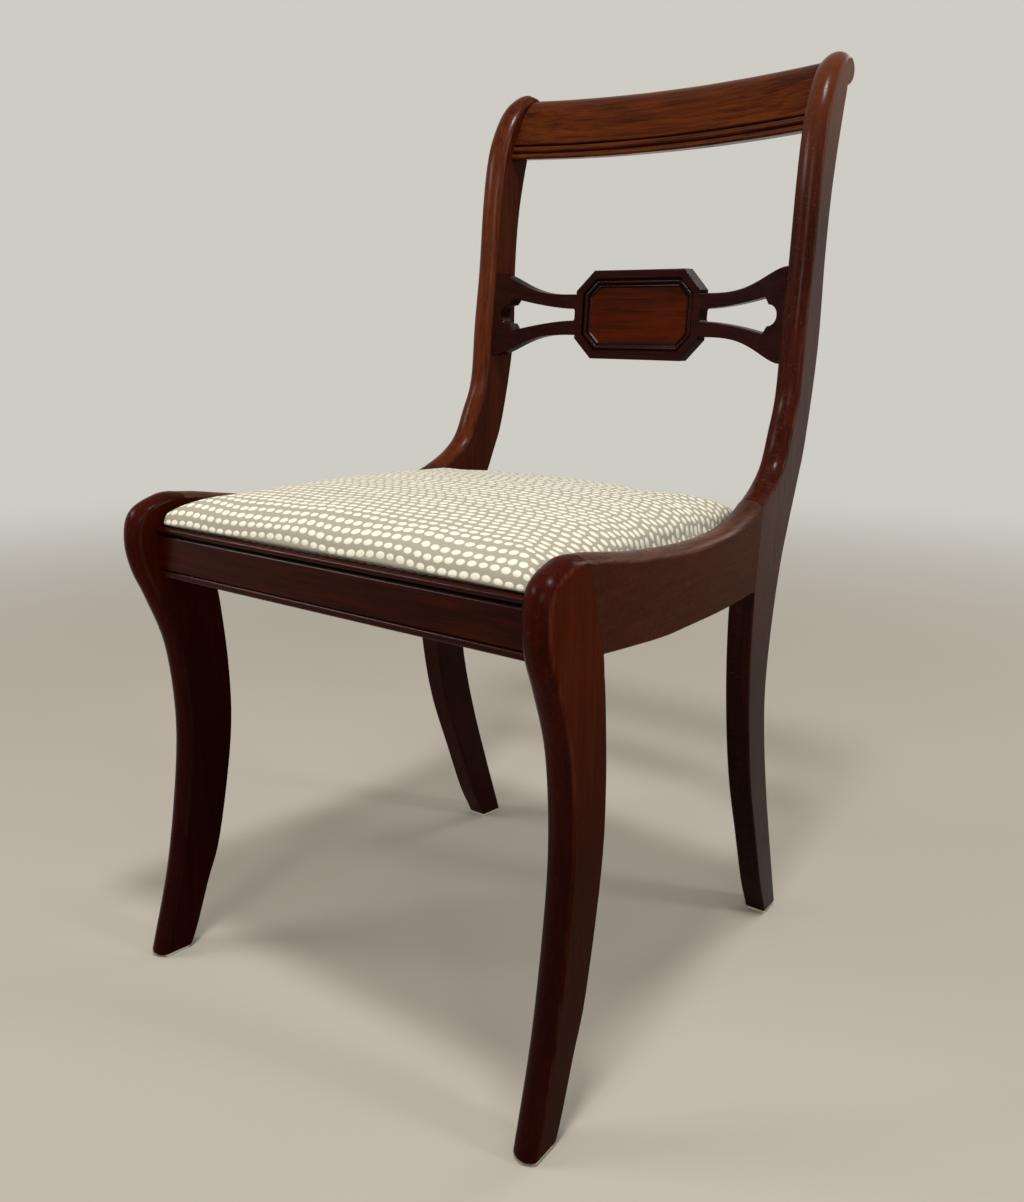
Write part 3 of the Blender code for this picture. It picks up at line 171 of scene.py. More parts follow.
# place, width, length, and power in watts
LAMPS = {
    "lamp_overhead": ((0.4, -0.5, 2.3), 0.28, 0.28, 29),
    "lamp_front": ((-1.6, -1.3, 1.6), 0.9, 0.3, 19),        # mirrored by the front rail's beads
    "lamp_window": ((0.35, -1.75, 1.35), 0.4, 0.6, 7),      # by the rounded fronts of legs and stiles
    "lamp_low": ((1.75, -1.25, 0.5), 0.15, 0.85, 5),        # by the inner edges of the far side
    "lamp_right": ((2.0, 0.4, 1.5), 0.32, 0.4, 12),
    "lamp_back": ((0.4, 2.1, 1.9), 1.0, 1.0, 13),
}
for name, (place, width, length, watts) in LAMPS.items():
    turn = (CHAIR_MIDDLE - Vector(place)).to_track_quat("-Z", "Y").to_euler()
    bpy.ops.object.light_add(type="AREA", location=place, rotation=turn)
    lamp = bpy.context.active_object
    lamp.name = name
    lamp.data.shape = "RECTANGLE"
    lamp.data.size = width
    lamp.data.size_y = length
    lamp.data.energy = watts
print(len(LAMPS), "lamps")

# %% [markdown]
# ## Working in edit mode
# An operator acts on whatever is selected. By hand we would click; in a script we pick vertices,
# edges or faces by where they are or which way they face. These helpers do just that.

# %% Selection helpers
def only(piece):
    """Leave edit mode, and make one object the only selected one and the active one."""
    if bpy.context.object and bpy.context.object.mode != "OBJECT":
        bpy.ops.object.mode_set(mode="OBJECT")
    bpy.ops.object.select_all(action="DESELECT")
    piece.select_set(True)
    bpy.context.view_layer.objects.active = piece


def edit(piece, kind, test):
    """Enter edit mode with only those verts, edges or faces selected that pass a test."""
    only(piece)
    bpy.ops.object.mode_set(mode="EDIT")
    bpy.ops.mesh.select_mode(type={"verts": "VERT", "edges": "EDGE", "faces": "FACE"}[kind])
    bpy.ops.mesh.select_all(action="DESELECT")
    work = bmesh.from_edit_mesh(piece.data)
    picked = [part for part in getattr(work, kind) if test(part)]
    for part in picked:
        part.select_set(True)
    bmesh.update_edit_mesh(piece.data)
    return len(picked)


def everything(part):
    """A test that every part passes."""
    return True


def new_piece(name):
    """An empty mesh at the origin, in edit mode."""
    if bpy.context.object and bpy.context.object.mode != "OBJECT":
        bpy.ops.object.mode_set(mode="OBJECT")
    bpy.ops.object.select_all(action="DESELECT")
    bpy.ops.object.add(type="MESH")
    piece = bpy.context.active_object
    piece.name = name
    piece.data.name = name
    bpy.ops.object.mode_set(mode="EDIT")
    return piece


def add_loop(piece, points, filled=False):
    """In edit mode, add a circle with a vertex for each point, and move each vertex to its point."""
    bpy.ops.mesh.select_mode(type="VERT")
    bpy.ops.mesh.select_all(action="DESELECT")
    bpy.ops.mesh.primitive_circle_add(vertices=len(points), fill_type="NGON" if filled else "NOTHING")
    work = bmesh.from_edit_mesh(piece.data)
    for vert, point in zip([v for v in work.verts if v.select], points):
        vert.co = point
    bmesh.update_edit_mesh(piece.data)


def mark(piece, name, test):
    """Give every vertex that passes a test the value 1 in an attribute for the materials."""
    values = piece.data.attributes.new(name, "FLOAT", "POINT").data
    for vert in piece.data.vertices:
        values[vert.index].value = float(test(vert.co))


def reshape(piece, place):
    """Move every vertex to the place that a function gives for it."""
    only(piece)
    for vert in piece.data.vertices:
        vert.co = place(vert.co)
    piece.data.update()


LARGE_FACES = 60                # how strongly large faces lead the normals, from 1 to 100


def smooth(piece, angle=35):
    """Shade smooth up to an angle, with normals that follow the large faces."""
    only(piece)
    bpy.ops.object.shade_smooth_by_angle(angle=math.radians(angle))
    modifier = piece.modifiers.new("large faces lead", "WEIGHTED_NORMAL")
    modifier.keep_sharp = True
    modifier.weight = LARGE_FACES
    bpy.ops.object.modifier_apply(modifier=modifier.name)


print("helpers ready")

# %% [markdown]
# ## Rounded boards
# Legs, side rails and posts were sawn from boards, shaped, and then softened by hand, so no edge is
# sharp. The CAD boards have the right outline with sharp edges. We weld a copy of each, and bevel
# every sharp edge that is free. Edges in a joint stay sharp, or the joint would open. Each bevel also
# gets a value, which the polish uses later to thin itself where hands and cloths rub, and which also
# paints a pale highlight along the rounded edges.

# %% Weld a copy of a CAD board
JOINT_REACH = 1.2 * MM          # edges this close to another piece belong to a joint
SHARP = math.radians(28)
MERGE = 0.02 * MM               # corners this close become one
FLAT = math.radians(0.4)        # faces that turn less than this become one


def nearness(names):
    """Search trees of CAD nodes, to ask how close a point lies to them."""
    trees = []
    for name in names:
        mesh = nodes[name].data
        points = [vert.co for vert in mesh.vertices]
        trees.append(BVHTree.FromPolygons(points, [face.vertices for face in mesh.polygons]))
    return trees


def welded_copy(name):
    """A CAD node's mesh in a new object, merged, with flat faces made whole again."""
    piece = bpy.data.objects.new(name + "_polished", nodes[name].data.copy())
    scene.collection.objects.link(piece)
    piece.data.materials.clear()
    edit(piece, "faces", everything)
    bpy.ops.mesh.customdata_custom_splitnormals_clear()
    bpy.ops.mesh.remove_doubles(threshold=MERGE)
    bpy.ops.mesh.dissolve_limited(angle_limit=FLAT)
    bpy.ops.mesh.tris_convert_to_quads()
    bpy.ops.object.mode_set(mode="OBJECT")
    return piece


def round_edges(piece, neighbours, width, segments=3):
    """Bevel the free sharp edges, and mark the bevels as worn and for a painted highlight along them."""
    trees = nearness(neighbours)

    def free(point):
        return all(tree.find_nearest(point, JOINT_REACH)[0] is None for tree in trees)

    def sharp_and_free(edge):
        if len(edge.link_faces) != 2 or edge.calc_face_angle() < SHARP:
            return False
        return all(free(vert.co) for vert in edge.verts)

    count = edit(piece, "edges", sharp_and_free)
    bpy.ops.mesh.bevel(offset=width, segments=segments, profile=0.5, affect="EDGES", clamp_overlap=False)
    work = bmesh.from_edit_mesh(piece.data)
    wear_and_highlight = work.loops.layers.float.new("wear_and_highlight")
    for face in work.faces:
        for loop in face.loops:
            inside = all(other.select for other in loop.vert.link_faces)
            loop[wear_and_highlight] = (1.0 if inside else 0.3) if face.select else 0.0
    bmesh.update_edit_mesh(piece.data)
    bpy.ops.object.mode_set(mode="OBJECT")
    return count


print(f"edges sharper than {math.degrees(SHARP):.0f} degrees will be rounded")

# %% Round the boards of both sides
BOARD_ROUND = {"front_leg": 2.2 * MM, "side_rail": 1.8 * MM, "back_post": 2.0 * MM}
NOT_JOINED = ("foot_pad", "seat_", "webbing", "dust")
boards = {}
for kind, width in BOARD_ROUND.items():
    for side in ("left", "right"):
        name = f"{kind}_{side}"
        piece = welded_copy(name)
        others = [other for other in nodes if other != name and not other.startswith(NOT_JOINED)]
        count = round_edges(piece, others, width)
        smooth(piece)
        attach(piece, "frame")
        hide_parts(name)
        boards[name] = piece
        print(f"{name}: {count} edges rounded, {len(piece.data.polygons)} faces")

# %% [markdown]
# ## Rails drawn by a profile
# The front rail and the crest rail were run through a moulding plane, which leaves the same profile
# all along. So we draw the profile as a closed loop, extrude it along the rail, and cut both ends to
# the splay of the sides. Beads are half rounds with a narrow groove beside each.

# %% Profile helpers
SIDE_SPLAY = math.radians(4.75)
END_SPARE = 20 * MM             # rails are extruded this much too long, and then cut
front_rail_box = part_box("front_rail")


def clear_half(y):
    """Half the length of a rail between the two sides, at depth y."""
    return front_rail_box[1].x - math.tan(SIDE_SPLAY) * (y - front_rail_box[0].y)


def half_round(low, high, back, proud, steps=8):
    """A bead between two heights: points from its lower to its upper edge, round the front."""
    points = []
    for step in range(steps + 1):
        turn = math.pi * (step / steps - 0.5)
        points.append((back - proud * math.cos(turn), (low + high) / 2 + (high - low) / 2 * math.sin(turn)))
    return points


def extruded_rail(name, profile, cuts=1):
    """Extrude a (depth, height) profile along X, a little longer than the clear width."""
    reach = clear_half(front_rail_box[0].y) + END_SPARE
    piece = new_piece(name)
    add_loop(piece, [Vector((-reach, depth, height)) for depth, height in profile], filled=True)
    bpy.ops.mesh.extrude_region_move(TRANSFORM_OT_translate={"value": (2 * reach, 0, 0)})
    if cuts > 1:
        edit(piece, "edges", lambda edge: abs(edge.verts[0].co.x - edge.verts[1].co.x) > reach)
        bpy.ops.mesh.subdivide(number_cuts=cuts)
    edit(piece, "faces", everything)
    bpy.ops.mesh.normals_make_consistent(inside=False)
    bpy.ops.object.mode_set(mode="OBJECT")
    return piece


def trim_to_sides(piece):
    """Cut both ends off along the inner faces of the sides."""
    for sign in (-1, 1):
        edit(piece, "faces", everything)
        bpy.ops.mesh.bisect(plane_co=(sign * clear_half(0), 0, 0),
                            plane_no=(sign * math.cos(SIDE_SPLAY), math.sin(SIDE_SPLAY), 0),
                            use_fill=True, clear_outer=True)
    bpy.ops.object.mode_set(mode="OBJECT")


print(f"{2 * clear_half(front_rail_box[0].y):.4f} m between the sides at the front")

# %% Front rail
BEAD = 6.4 * MM
BEAD_PROUD = 0.6 * MM
QUIRK = 1.5 * MM                # width and depth of the groove beside a bead
ARRIS = 2.4 * MM                # rounded upper edge of the flat face
ARRIS_ANGLES = (0, 20, 40, 60)  # where its points lie
FRONT_LIP = 9.0 * MM
LIP_ROUND = 1.0 * MM
ledge_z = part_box("seat_bearer_left")[1].z
face_y = front_rail_box[0].y + BEAD_PROUD
rail_low = front_rail_box[0].z
rail_top = front_rail_box[1].z
rail_rear = front_rail_box[1].y
lip_y = face_y + FRONT_LIP
panel_low = rail_low + BEAD + QUIRK
panel_top = rail_top - BEAD - QUIRK

front_profile = half_round(rail_low, rail_low + BEAD, face_y + QUIRK, BEAD_PROUD + QUIRK)
front_profile += [(face_y + 0.4 * QUIRK, panel_low - 0.5 * QUIRK), (face_y, panel_low)]
front_profile += [(face_y, panel_top - 1.5 * ARRIS)]
for angle in ARRIS_ANGLES:
    turn = math.radians(angle)
    front_profile += [(face_y + ARRIS * (1 - math.cos(turn)), panel_top - ARRIS * (1 - math.sin(turn)))]
front_profile += [(face_y + QUIRK, panel_top)]
front_profile += half_round(rail_top - BEAD, rail_top, face_y + 2 * QUIRK, BEAD_PROUD + 2 * QUIRK)
front_profile += [(lip_y - LIP_ROUND, rail_top), (lip_y - 0.3 * LIP_ROUND, rail_top - 0.3 * LIP_ROUND),
                  (lip_y, rail_top - LIP_ROUND), (lip_y, ledge_z)]
front_profile += [(rail_rear, ledge_z), (rail_rear, rail_low)]
front_rail = extruded_rail("front_rail_moulded", front_profile)
# near-black waxy residue and painted shade in the grooves beside the beads
mark(front_rail, "wax_and_shade", lambda point: face_y + 0.9 * QUIRK < point.y < lip_y - 2 * QUIRK
     and rail_low + 0.5 * BEAD < point.z < rail_top - 0.5 * BEAD)
trim_to_sides(front_rail)
smooth(front_rail)
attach(front_rail, "frame")
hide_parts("front_rail")
print("front rail", len(front_profile), "points in its profile")

# %% Crest rail: profile
CREST_HEIGHT = 76 * MM          # along its lean
CREST_THICKNESS = 18 * MM
CREST_LEAN = math.radians(21)
CREST_BOW = 12 * MM
CREST_BEAD = 6 * MM
CREST_BEAD_BACK = 1.2 * MM      # depth of the beads' edges
CREST_GROOVE = 2.2 * MM
CREST_GROOVE_DEPTH = 2.0 * MM
CREST_BULGE = 1.0 * MM
CREST_ROLL = 24 * MM            # how far the front curls back over the top
CREST_EASE = 1 * MM             # eased lower edge at the back
CREST_CUTS = 31


def through(points, steps=4):
    """A smooth curve through points."""
    chain = [2 * points[0] - points[1]] + points + [2 * points[-1] - points[-2]]
    curve = []
    for a, b, c, d in zip(chain, chain[1:], chain[2:], chain[3:]):
        for step in range(steps):
            t = step / steps
            curve.append(0.5 * (2 * b + (c - a) * t + (2 * a - 5 * b + 4 * c - d) * t ** 2
                                + (3 * b - a - 3 * c + d) * t ** 3))
    return curve + [points[-1]]


second_bead = CREST_BEAD + CREST_GROOVE
face_start = 2 * second_bead
crest_profile = []
for low in (0, second_bead):
    crest_profile += half_round(low, low + CREST_BEAD, CREST_BEAD_BACK, CREST_BEAD_BACK + CREST_BULGE)
    crest_profile += [(CREST_GROOVE_DEPTH, low + CREST_BEAD + 0.3 * CREST_GROOVE),
                      (CREST_GROOVE_DEPTH, low + CREST_BEAD + 0.7 * CREST_GROOVE)]
roll_shares = [(0.0, 0.225), (0.03, 0.40), (0.09, 0.62), (0.23, 0.82), (0.44, 0.94), (0.71, 1.0),
               (0.98, 0.97), (1.03, 0.90), (0.87, 0.80), (0.75, 0.68)]
roll = through([Vector((depth * CREST_ROLL, height * CREST_HEIGHT)) for depth, height in roll_shares])
crest_profile += [(0.5 * MM, face_start)] + [tuple(point) for point in roll]
back_low = CREST_THICKNESS * math.tan(CREST_LEAN)
crest_profile += [(CREST_THICKNESS, back_low + CREST_EASE), (CREST_THICKNESS - CREST_EASE, back_low)]
print("crest profile", len(crest_profile), "points")

# %% Crest rail: extrude, bow and lean
crest_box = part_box("crest_rail")
crest_foot = Vector((crest_box[0].y, crest_box[0].z + CREST_BOW * math.sin(CREST_LEAN)))
crest_half = clear_half(crest_foot.x)


def crest_place(point):
    """Bow the straight rail backwards, lean it, and move it to its place."""
    bow = CREST_BOW * (1 - (point.x / crest_half) ** 2)
    depth = point.y + bow
    y = crest_foot.x + math.cos(CREST_LEAN) * depth + math.sin(CREST_LEAN) * point.z
    z = crest_foot.y - math.sin(CREST_LEAN) * depth + math.cos(CREST_LEAN) * point.z
    return Vector((point.x, y, z))


crest_rail = extruded_rail("crest_rail_moulded", crest_profile, CREST_CUTS)
# and in the groove between the crest's beads
mark(crest_rail, "wax_and_shade", lambda point: 0.9 * CREST_GROOVE_DEPTH < point.y < 2 * CREST_GROOVE_DEPTH
     and point.z < face_start)
reshape(crest_rail, crest_place)
trim_to_sides(crest_rail)
smooth(crest_rail)
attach(crest_rail, "frame")
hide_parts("crest_rail")
print("crest rail", len(crest_rail.data.polygons), "faces")

# %% [markdown]
# ## The splat
# The splat is one bowed board: an octagonal tablet between two arms that fan out, each pierced by a
# slot with a round lobe. We draw the outline and the slots flat, fill the space between them, give the
# board its thickness, and carve the tablet's moulding with a chain of insets. Only then is the board
# cut into narrow strips and bowed, because a flat board is much easier to draw.

# %% Splat: outline and slots
SPLAT_THICKNESS = 17 * MM
SPLAT_BOW = 20.5 * MM
SPLAT_LEAN = math.radians(4)
SPLAT_WAIST = 43 * MM
SPLAT_FAN = 1.9
TABLET_WIDTH = 152 * MM
TABLET_HEIGHT = 92 * MM
TABLET_CORNER = 21 * MM
TABLET_BORDER = 8.0 * MM
ARM_END_HEIGHT = 90 * MM
ARM_STEPS = 24
SPLAT_SPARE = 6 * MM            # the arms are drawn this much too long, and then cut
SLOT_NARROW = 12.2 * MM
SLOT_WIDE = 34.5 * MM
SLOT_FLARE = 1.6                # how late a slot widens
SLOT_START = 1 * MM             # from the tablet
SLOT_ROUND = 1.5 * MM           # rounded start
SLOT_END = 23 * MM              # shoulder before the stile
SLOT_STEPS = 12
LOBE = 10 * MM                  # radius of the round lobe
LOBE_OFFSET = 5 * MM            # its middle, past the shoulder
LOBE_STEPS = 8
splat_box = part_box("back_splat")
splat_level = (splat_box[0].z + splat_box[1].z) / 2
splat_front = splat_box[1].y - SPLAT_BOW - SPLAT_THICKNESS - math.tan(SPLAT_LEAN) * TABLET_HEIGHT / 2
splat_half = clear_half(splat_front)


def octagon(inset):
    """Upper right quarter of the tablet's outline, moved in by an inset."""
    half_x = TABLET_WIDTH / 2 - inset
    half_z = TABLET_HEIGHT / 2 - inset
    corner = TABLET_CORNER - inset * (2 - math.sqrt(2))
    return [(half_x - corner, half_z), (half_x, half_z - corner)]


def arm_edge(share):
    """Half the height of an arm, from the tablet (0) to the stile (1)."""
    late = share ** SPLAT_FAN
    swell = late ** 2 * (3 - 2 * late)
    return SPLAT_WAIST / 2 + (ARM_END_HEIGHT - SPLAT_WAIST) / 2 * swell


def all_round(quarter):
    """A closed outline from its upper right quarter, which runs from the top to the right."""
    lower = [(x, -z) for x, z in reversed(quarter) if abs(z) > 1e-9]
    right = quarter + lower
    left = [(-x, z) for x, z in reversed(right)]
    return [Vector((x, 0, z)) for x, z in right + left]


def slot_upper():
    """Upper half of a slot, from the tablet to the tip of its lobe."""
    start = TABLET_WIDTH / 2 + SLOT_START
    neck = start + SLOT_ROUND
    shoulder = splat_half - SLOT_END
    points = [(start, 0.0), (start, 0.28 * SLOT_NARROW), (start + SLOT_ROUND / 3, 0.42 * SLOT_NARROW)]
    for step in range(SLOT_STEPS + 1):
        share = step / SLOT_STEPS
        rise = 0.5 * SLOT_NARROW + 0.5 * (SLOT_WIDE - SLOT_NARROW) * share ** SLOT_FLARE
        points.append((neck + (shoulder - neck) * share, rise))
    points.append((shoulder + 0.8 * LOBE_OFFSET, 1.1 * LOBE))
    for step in range(LOBE_STEPS + 1):
        turn = math.pi / 2 * step / LOBE_STEPS
        points.append((shoulder + LOBE_OFFSET + LOBE * math.sin(turn), LOBE * math.cos(turn)))
    return points


reach = splat_half + SPLAT_SPARE
arm = [(TABLET_WIDTH / 2 + (splat_half - TABLET_WIDTH / 2) * step / ARM_STEPS, arm_edge(step / ARM_STEPS))
       for step in range(ARM_STEPS + 1)]
outline = all_round([octagon(0)[0], octagon(0)[1]] + arm + [(reach, ARM_END_HEIGHT / 2)])
slot_half = slot_upper()
slot_loop = slot_half + [(x, -z) for x, z in reversed(slot_half[1:-1])]
splat = new_piece("back_splat_carved")
add_loop(splat, outline)
for sign in (-1, 1):
    add_loop(splat, [Vector((sign * x, 0, z)) for x, z in slot_loop])
add_loop(splat, all_round(octagon(TABLET_BORDER)))
bpy.ops.mesh.select_all(action="SELECT")
bpy.ops.mesh.fill(use_beauty=True)
print("splat outline", len(outline), "points, each slot", len(slot_loop))

# %% Splat: thickness and edges
SPLAT_ROUND = 1.0 * MM


def inside_border(part):
    """Whether a part lies on the tablet inside its border."""
    return all(abs(v.co.x) < TABLET_WIDTH / 2 - 0.9 * TABLET_BORDER
               and abs(v.co.z) < TABLET_HEIGHT / 2 - 0.9 * TABLET_BORDER for v in part.verts)


edit(splat, "edges", lambda edge: len(edge.link_faces) == 1 and inside_border(edge))
bpy.ops.mesh.edge_face_add()
edit(splat, "faces", everything)
bpy.ops.mesh.extrude_region_move(TRANSFORM_OT_translate={"value": (0, SPLAT_THICKNESS, 0)})
edit(splat, "faces", everything)
bpy.ops.mesh.normals_make_consistent(inside=False)
bpy.ops.object.mode_set(mode="OBJECT")


def outline_edge(edge):
    """Front and back edges of the outline and the slots, but not the ends in the stiles."""
    if len(edge.link_faces) != 2 or edge.calc_face_angle() < math.radians(60):
        return False
    along_board = abs(edge.verts[0].co.y - edge.verts[1].co.y) < 1 * MM
    return along_board and all(abs(v.co.x) < reach - 1 * MM for v in edge.verts)


edit(splat, "edges", outline_edge)
bpy.ops.mesh.bevel(offset=SPLAT_ROUND, segments=3, profile=0.5, affect="EDGES", clamp_overlap=False)
bpy.ops.object.mode_set(mode="OBJECT")
print("splat", len(splat.data.polygons), "faces before the carving")

# %% Splat: carve the tablet with insets
GROOVE = 2.2 * MM
GROOVE_DEPTH = 2.6 * MM
TABLET_BEAD = 4.0 * MM
BEAD_SINK = 0.9 * MM            # how far the bead's top lies behind the border
FIELD_SINK = 4.0 * MM


def moulding_steps():
    """Insets and depths of the tablet's moulding, from the border to the sunk field."""
    line = [(0.0, 0.0), (0.5 * MM, 0.25 * MM), (0.9 * MM, 1.2 * MM)]
    line += [(0.5 * GROOVE, GROOVE_DEPTH), (0.8 * GROOVE, GROOVE_DEPTH)]
    for step in range(1, 8):
        turn = math.pi * step / 8
        line.append((GROOVE + TABLET_BEAD * (1 - math.cos(turn)) / 2,
                     GROOVE_DEPTH - (GROOVE_DEPTH - BEAD_SINK) * math.sin(turn)))
    inner = GROOVE + TABLET_BEAD
    line += [(inner + 0.2 * MM, GROOVE_DEPTH + 0.8 * MM), (inner + 0.8 * MM, GROOVE_DEPTH + 0.9 * MM)]
    line += [(inner + 1.6 * MM, GROOVE_DEPTH + 0.1 * MM), (inner + 2.2 * MM, GROOVE_DEPTH)]
    line += [(inner + 3.4 * MM, FIELD_SINK - 0.2 * MM), (inner + 3.8 * MM, FIELD_SINK)]
    return line


edit(splat, "faces", lambda face: face.normal.y < -0.9 and inside_border(face) and len(face.verts) == 8)
moulding = moulding_steps()
for (inset, depth), (next_inset, next_depth) in zip(moulding, moulding[1:]):
    bpy.ops.mesh.inset(thickness=next_inset - inset, depth=depth - next_depth)
bpy.ops.object.mode_set(mode="OBJECT")
print("moulding of", len(moulding) - 1, "insets")

# %% Splat: strips and bow
STRIP = 8 * MM
FIELD_INSET = moulding[-1][0] - 0.5 * MM    # the sunk field starts here
# insets between which waxy residue and painted shade lie in the grooves
WAXED_AND_SHADED = [(0.4 * GROOVE, 1.05 * GROOVE), (GROOVE + TABLET_BEAD, GROOVE + TABLET_BEAD + 1.2 * MM)]


def splat_place(point):
    """Bow the flat board backwards, lean it, and move it to its place."""
    bow = SPLAT_BOW * (1 - min(1.0, abs(point.x) / splat_half) ** 2)
    y = splat_front + bow + math.tan(SPLAT_LEAN) * point.z + point.y
    return Vector((point.x, y, splat_level + point.z))


def tablet_inset(point):
    """How far a place on the tablet lies inside its border."""
    x, z = abs(point.x), abs(point.z)
    corner = (TABLET_WIDTH / 2 + TABLET_HEIGHT / 2 - TABLET_CORNER - x - z) / math.sqrt(2)
    return min(TABLET_WIDTH / 2 - x, TABLET_HEIGHT / 2 - z, corner) - TABLET_BORDER


# and in the tablet's grooves
mark(splat, "wax_and_shade", lambda point: 0.5 * MM < point.y < 2 * FIELD_SINK
     and any(low < tablet_inset(point) < high for low, high in WAXED_AND_SHADED))
strips = int(reach / STRIP)
for strip in range(-strips, strips + 1):
    edit(splat, "faces", everything)
    bpy.ops.mesh.bisect(plane_co=(strip * STRIP, 0, 0), plane_no=(1, 0, 0))
reshape(splat, splat_place)
trim_to_sides(splat)
smooth(splat, 25)
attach(splat, "frame")
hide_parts("back_splat")
print("splat", len(splat.data.polygons), "faces")

# %% [markdown]
# ## The back rail
# The rear seat rail hides behind the cushion, but it shows from behind. It is a plain rail with a
# ledge, so a welded copy with softened edges is all it needs.

# %% Back rail
BACK_RAIL_ROUND = 1.5 * MM
back_rail = welded_copy("back_rail")
others = [name for name in nodes if name != "back_rail" and not name.startswith("seat_")]
round_edges(back_rail, others, BACK_RAIL_ROUND)
smooth(back_rail)
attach(back_rail, "frame")
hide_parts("back_rail")
print("back rail", len(back_rail.data.polygons), "faces")

# %% [markdown]
# ## The cushion
# The seat is a wooden frame with webbing, stuffing and a tight cover. What shows is a low pillow: its
# edge stands up a little from the rails, rounds over, and rises to a crown in the middle. We cut a box
# into a fine grid, give each vertex its place on the pillow, hollow it from below to leave room for
# the frame, and let air pressure swell it while its lower edge is held. The formula gives the size,
# and the pressure gives the taut, slightly uneven swell that a formula lacks.

# %% Cushion: the shape of the pillow
SEAT_GAP = 0.9 * MM             # play between the cover and the rails
DRAW_IN = 1.5 * MM              # how far the sides pull in between the corners
CORNER = 4 * MM                 # radius of the corners in plan
EDGE_ROUND = 7.5 * MM           # how fast the edge rounds over into the top
EDGE_RISE = 9 * MM
WALL_RISE = 9 * MM              # the cover stands upright this far above the frame
CROWN = 13.5 * MM
CROWN_FULLNESS = 0.8            # below 1 the crown is broader
UNEVEN = 0.7 * MM
UNEVEN_SIZE = 70 * MM
FRONT_BULGE = 9.3 * MM          # how far the pad lies over the front rail's lip
BULGE_RISE = 1.5 * MM           # height over which it does
BULGE_FADE = 20 * MM            # depth over which it dies away
LIP_GAP = 0.4 * MM              # play between the pad and the lip's top
LIP_PLAY = 0.8 * MM             # and the lip's rear
cover_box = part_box("seat_cover")
seat_front = cover_box[0].y
seat_back = cover_box[1].y
seat_low = cover_box[0].z
seat_middle = (seat_front + seat_back) / 2
seat_depth = seat_back - seat_front
frame_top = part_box("seat_frame_front")[1].z
web_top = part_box("webbing_cross_1")[1].z
wall_top = frame_top + WALL_RISE


def seat_half(y):
    """Half the width of the cushion at depth y."""
    return clear_half(y) - SEAT_GAP


def eased(share):
    """A share from 0 to 1 that starts and ends gently."""
    share = max(0.0, min(1.0, share))
    return share * share * (3 - 2 * share)


def round_over(distances):
    """Rise of the rounded edge, from 0 at the nearest edge to 1 inside. Corners blend two edges."""
    nearest = sum(max(0.1 * MM, distance) ** -4 for distance in distances) ** -0.25
    return 1 - math.exp(-nearest / EDGE_ROUND)


def pad_height(x, y):
    """Height of the pad's upper surface."""
    half = seat_half(y)
    edge = round_over([half - abs(x), y - seat_front, seat_back - y])
    across = max(0.0, 1 - (x / half) ** 2)
    along = max(0.0, 1 - ((y - seat_middle) / (seat_depth / 2)) ** 2)
    dip = UNEVEN * noise.noise(Vector((x, y, 0.3)) / UNEVEN_SIZE)
    return wall_top + edge * (EDGE_RISE + dip) + CROWN * (across * along) ** CROWN_FULLNESS


def pad_plan(u, v):
    """A place in the plan from shares of -1 to 1, with round corners and sides that draw in."""
    y = seat_middle + v * seat_depth / 2
    half = seat_half(y)
    x = u * half
    past_x = max(0.0, abs(x) - half + CORNER) / CORNER
    past_y = max(0.0, abs(y - seat_middle) - seat_depth / 2 + CORNER) / CORNER
    x -= math.copysign(CORNER * past_x * (1 - math.sqrt(1 - past_y ** 2 / 2)), x)
    y -= math.copysign(CORNER * past_y * (1 - math.sqrt(1 - past_x ** 2 / 2)), v)
    return x - u * DRAW_IN * (1 - v * v), y - v * DRAW_IN * (1 - u * u)


print(f"pad from {seat_low:.4f} to {pad_height(0, seat_middle):.4f} m high")

# %% Cushion: a box cut into a grid
CELL = 6 * MM
WALL_CUTS = 5

bpy.ops.object.select_all(action="DESELECT")
bpy.ops.mesh.primitive_cube_add(size=2)
cushion = bpy.context.active_object
cushion.name = "seat_cushion"
edit(cushion, "edges", lambda edge: abs(edge.verts[0].co.z - edge.verts[1].co.z) < 1)
bpy.ops.mesh.subdivide(number_cuts=int(seat_depth / CELL))
edit(cushion, "edges", lambda edge: abs(edge.verts[0].co.z - edge.verts[1].co.z) > 1)
bpy.ops.mesh.subdivide(number_cuts=WALL_CUTS)
bpy.ops.object.mode_set(mode="OBJECT")
shares = [vert.co.copy() for vert in cushion.data.vertices]


def wall_height(share, top):
    """Height on the cover's side. Its lowest third, by rows, stays below the rail's top."""
    low = rail_top + LIP_GAP
    if share < 1 / 3:
        return seat_low + (low - seat_low) * 3 * share
    return low + (top - low) * (1.5 * share - 0.5) ** 1.5


def pad_place(share):
    """Turn a vertex of the plain cube into its place on the pad."""
    x, y = pad_plan(share.x, share.y)
    z = wall_height((share.z + 1) / 2, pad_height(x, y))
    lean = eased((z - rail_top - LIP_GAP) / BULGE_RISE) * math.exp(-(y - seat_front) / BULGE_FADE)
    return Vector((x, y - FRONT_BULGE * lean, z))


reshape(cushion, pad_place)
print("cushion grid", len(cushion.data.polygons), "faces")

# %% Cushion: lay the pattern out flat
def arc_length(start, end, height, steps=24):
    """Length of the pad's surface between two places, with a sign."""
    total = 0.0
    for step in range(steps):
        here = start + (end - start) * step / steps
        there = start + (end - start) * (step + 1) / steps
        total += math.hypot(there - here, height(there) - height(here))
    return math.copysign(total, end - start)


def flat_place(share):
    """Where a point of the cover lay on the flat fabric: lengths along the pad, plus the side's drop."""
    x, y = pad_plan(share.x, share.y)
    top = pad_height(x, y)
    drop = top - wall_height((share.z + 1) / 2, top)
    flat_x = arc_length(0, x, lambda t: pad_height(t, y))
    flat_y = arc_length(seat_middle, y, lambda t: pad_height(x, t))
    return Vector((flat_x + drop * int(share.x), flat_y + drop * int(share.y)))


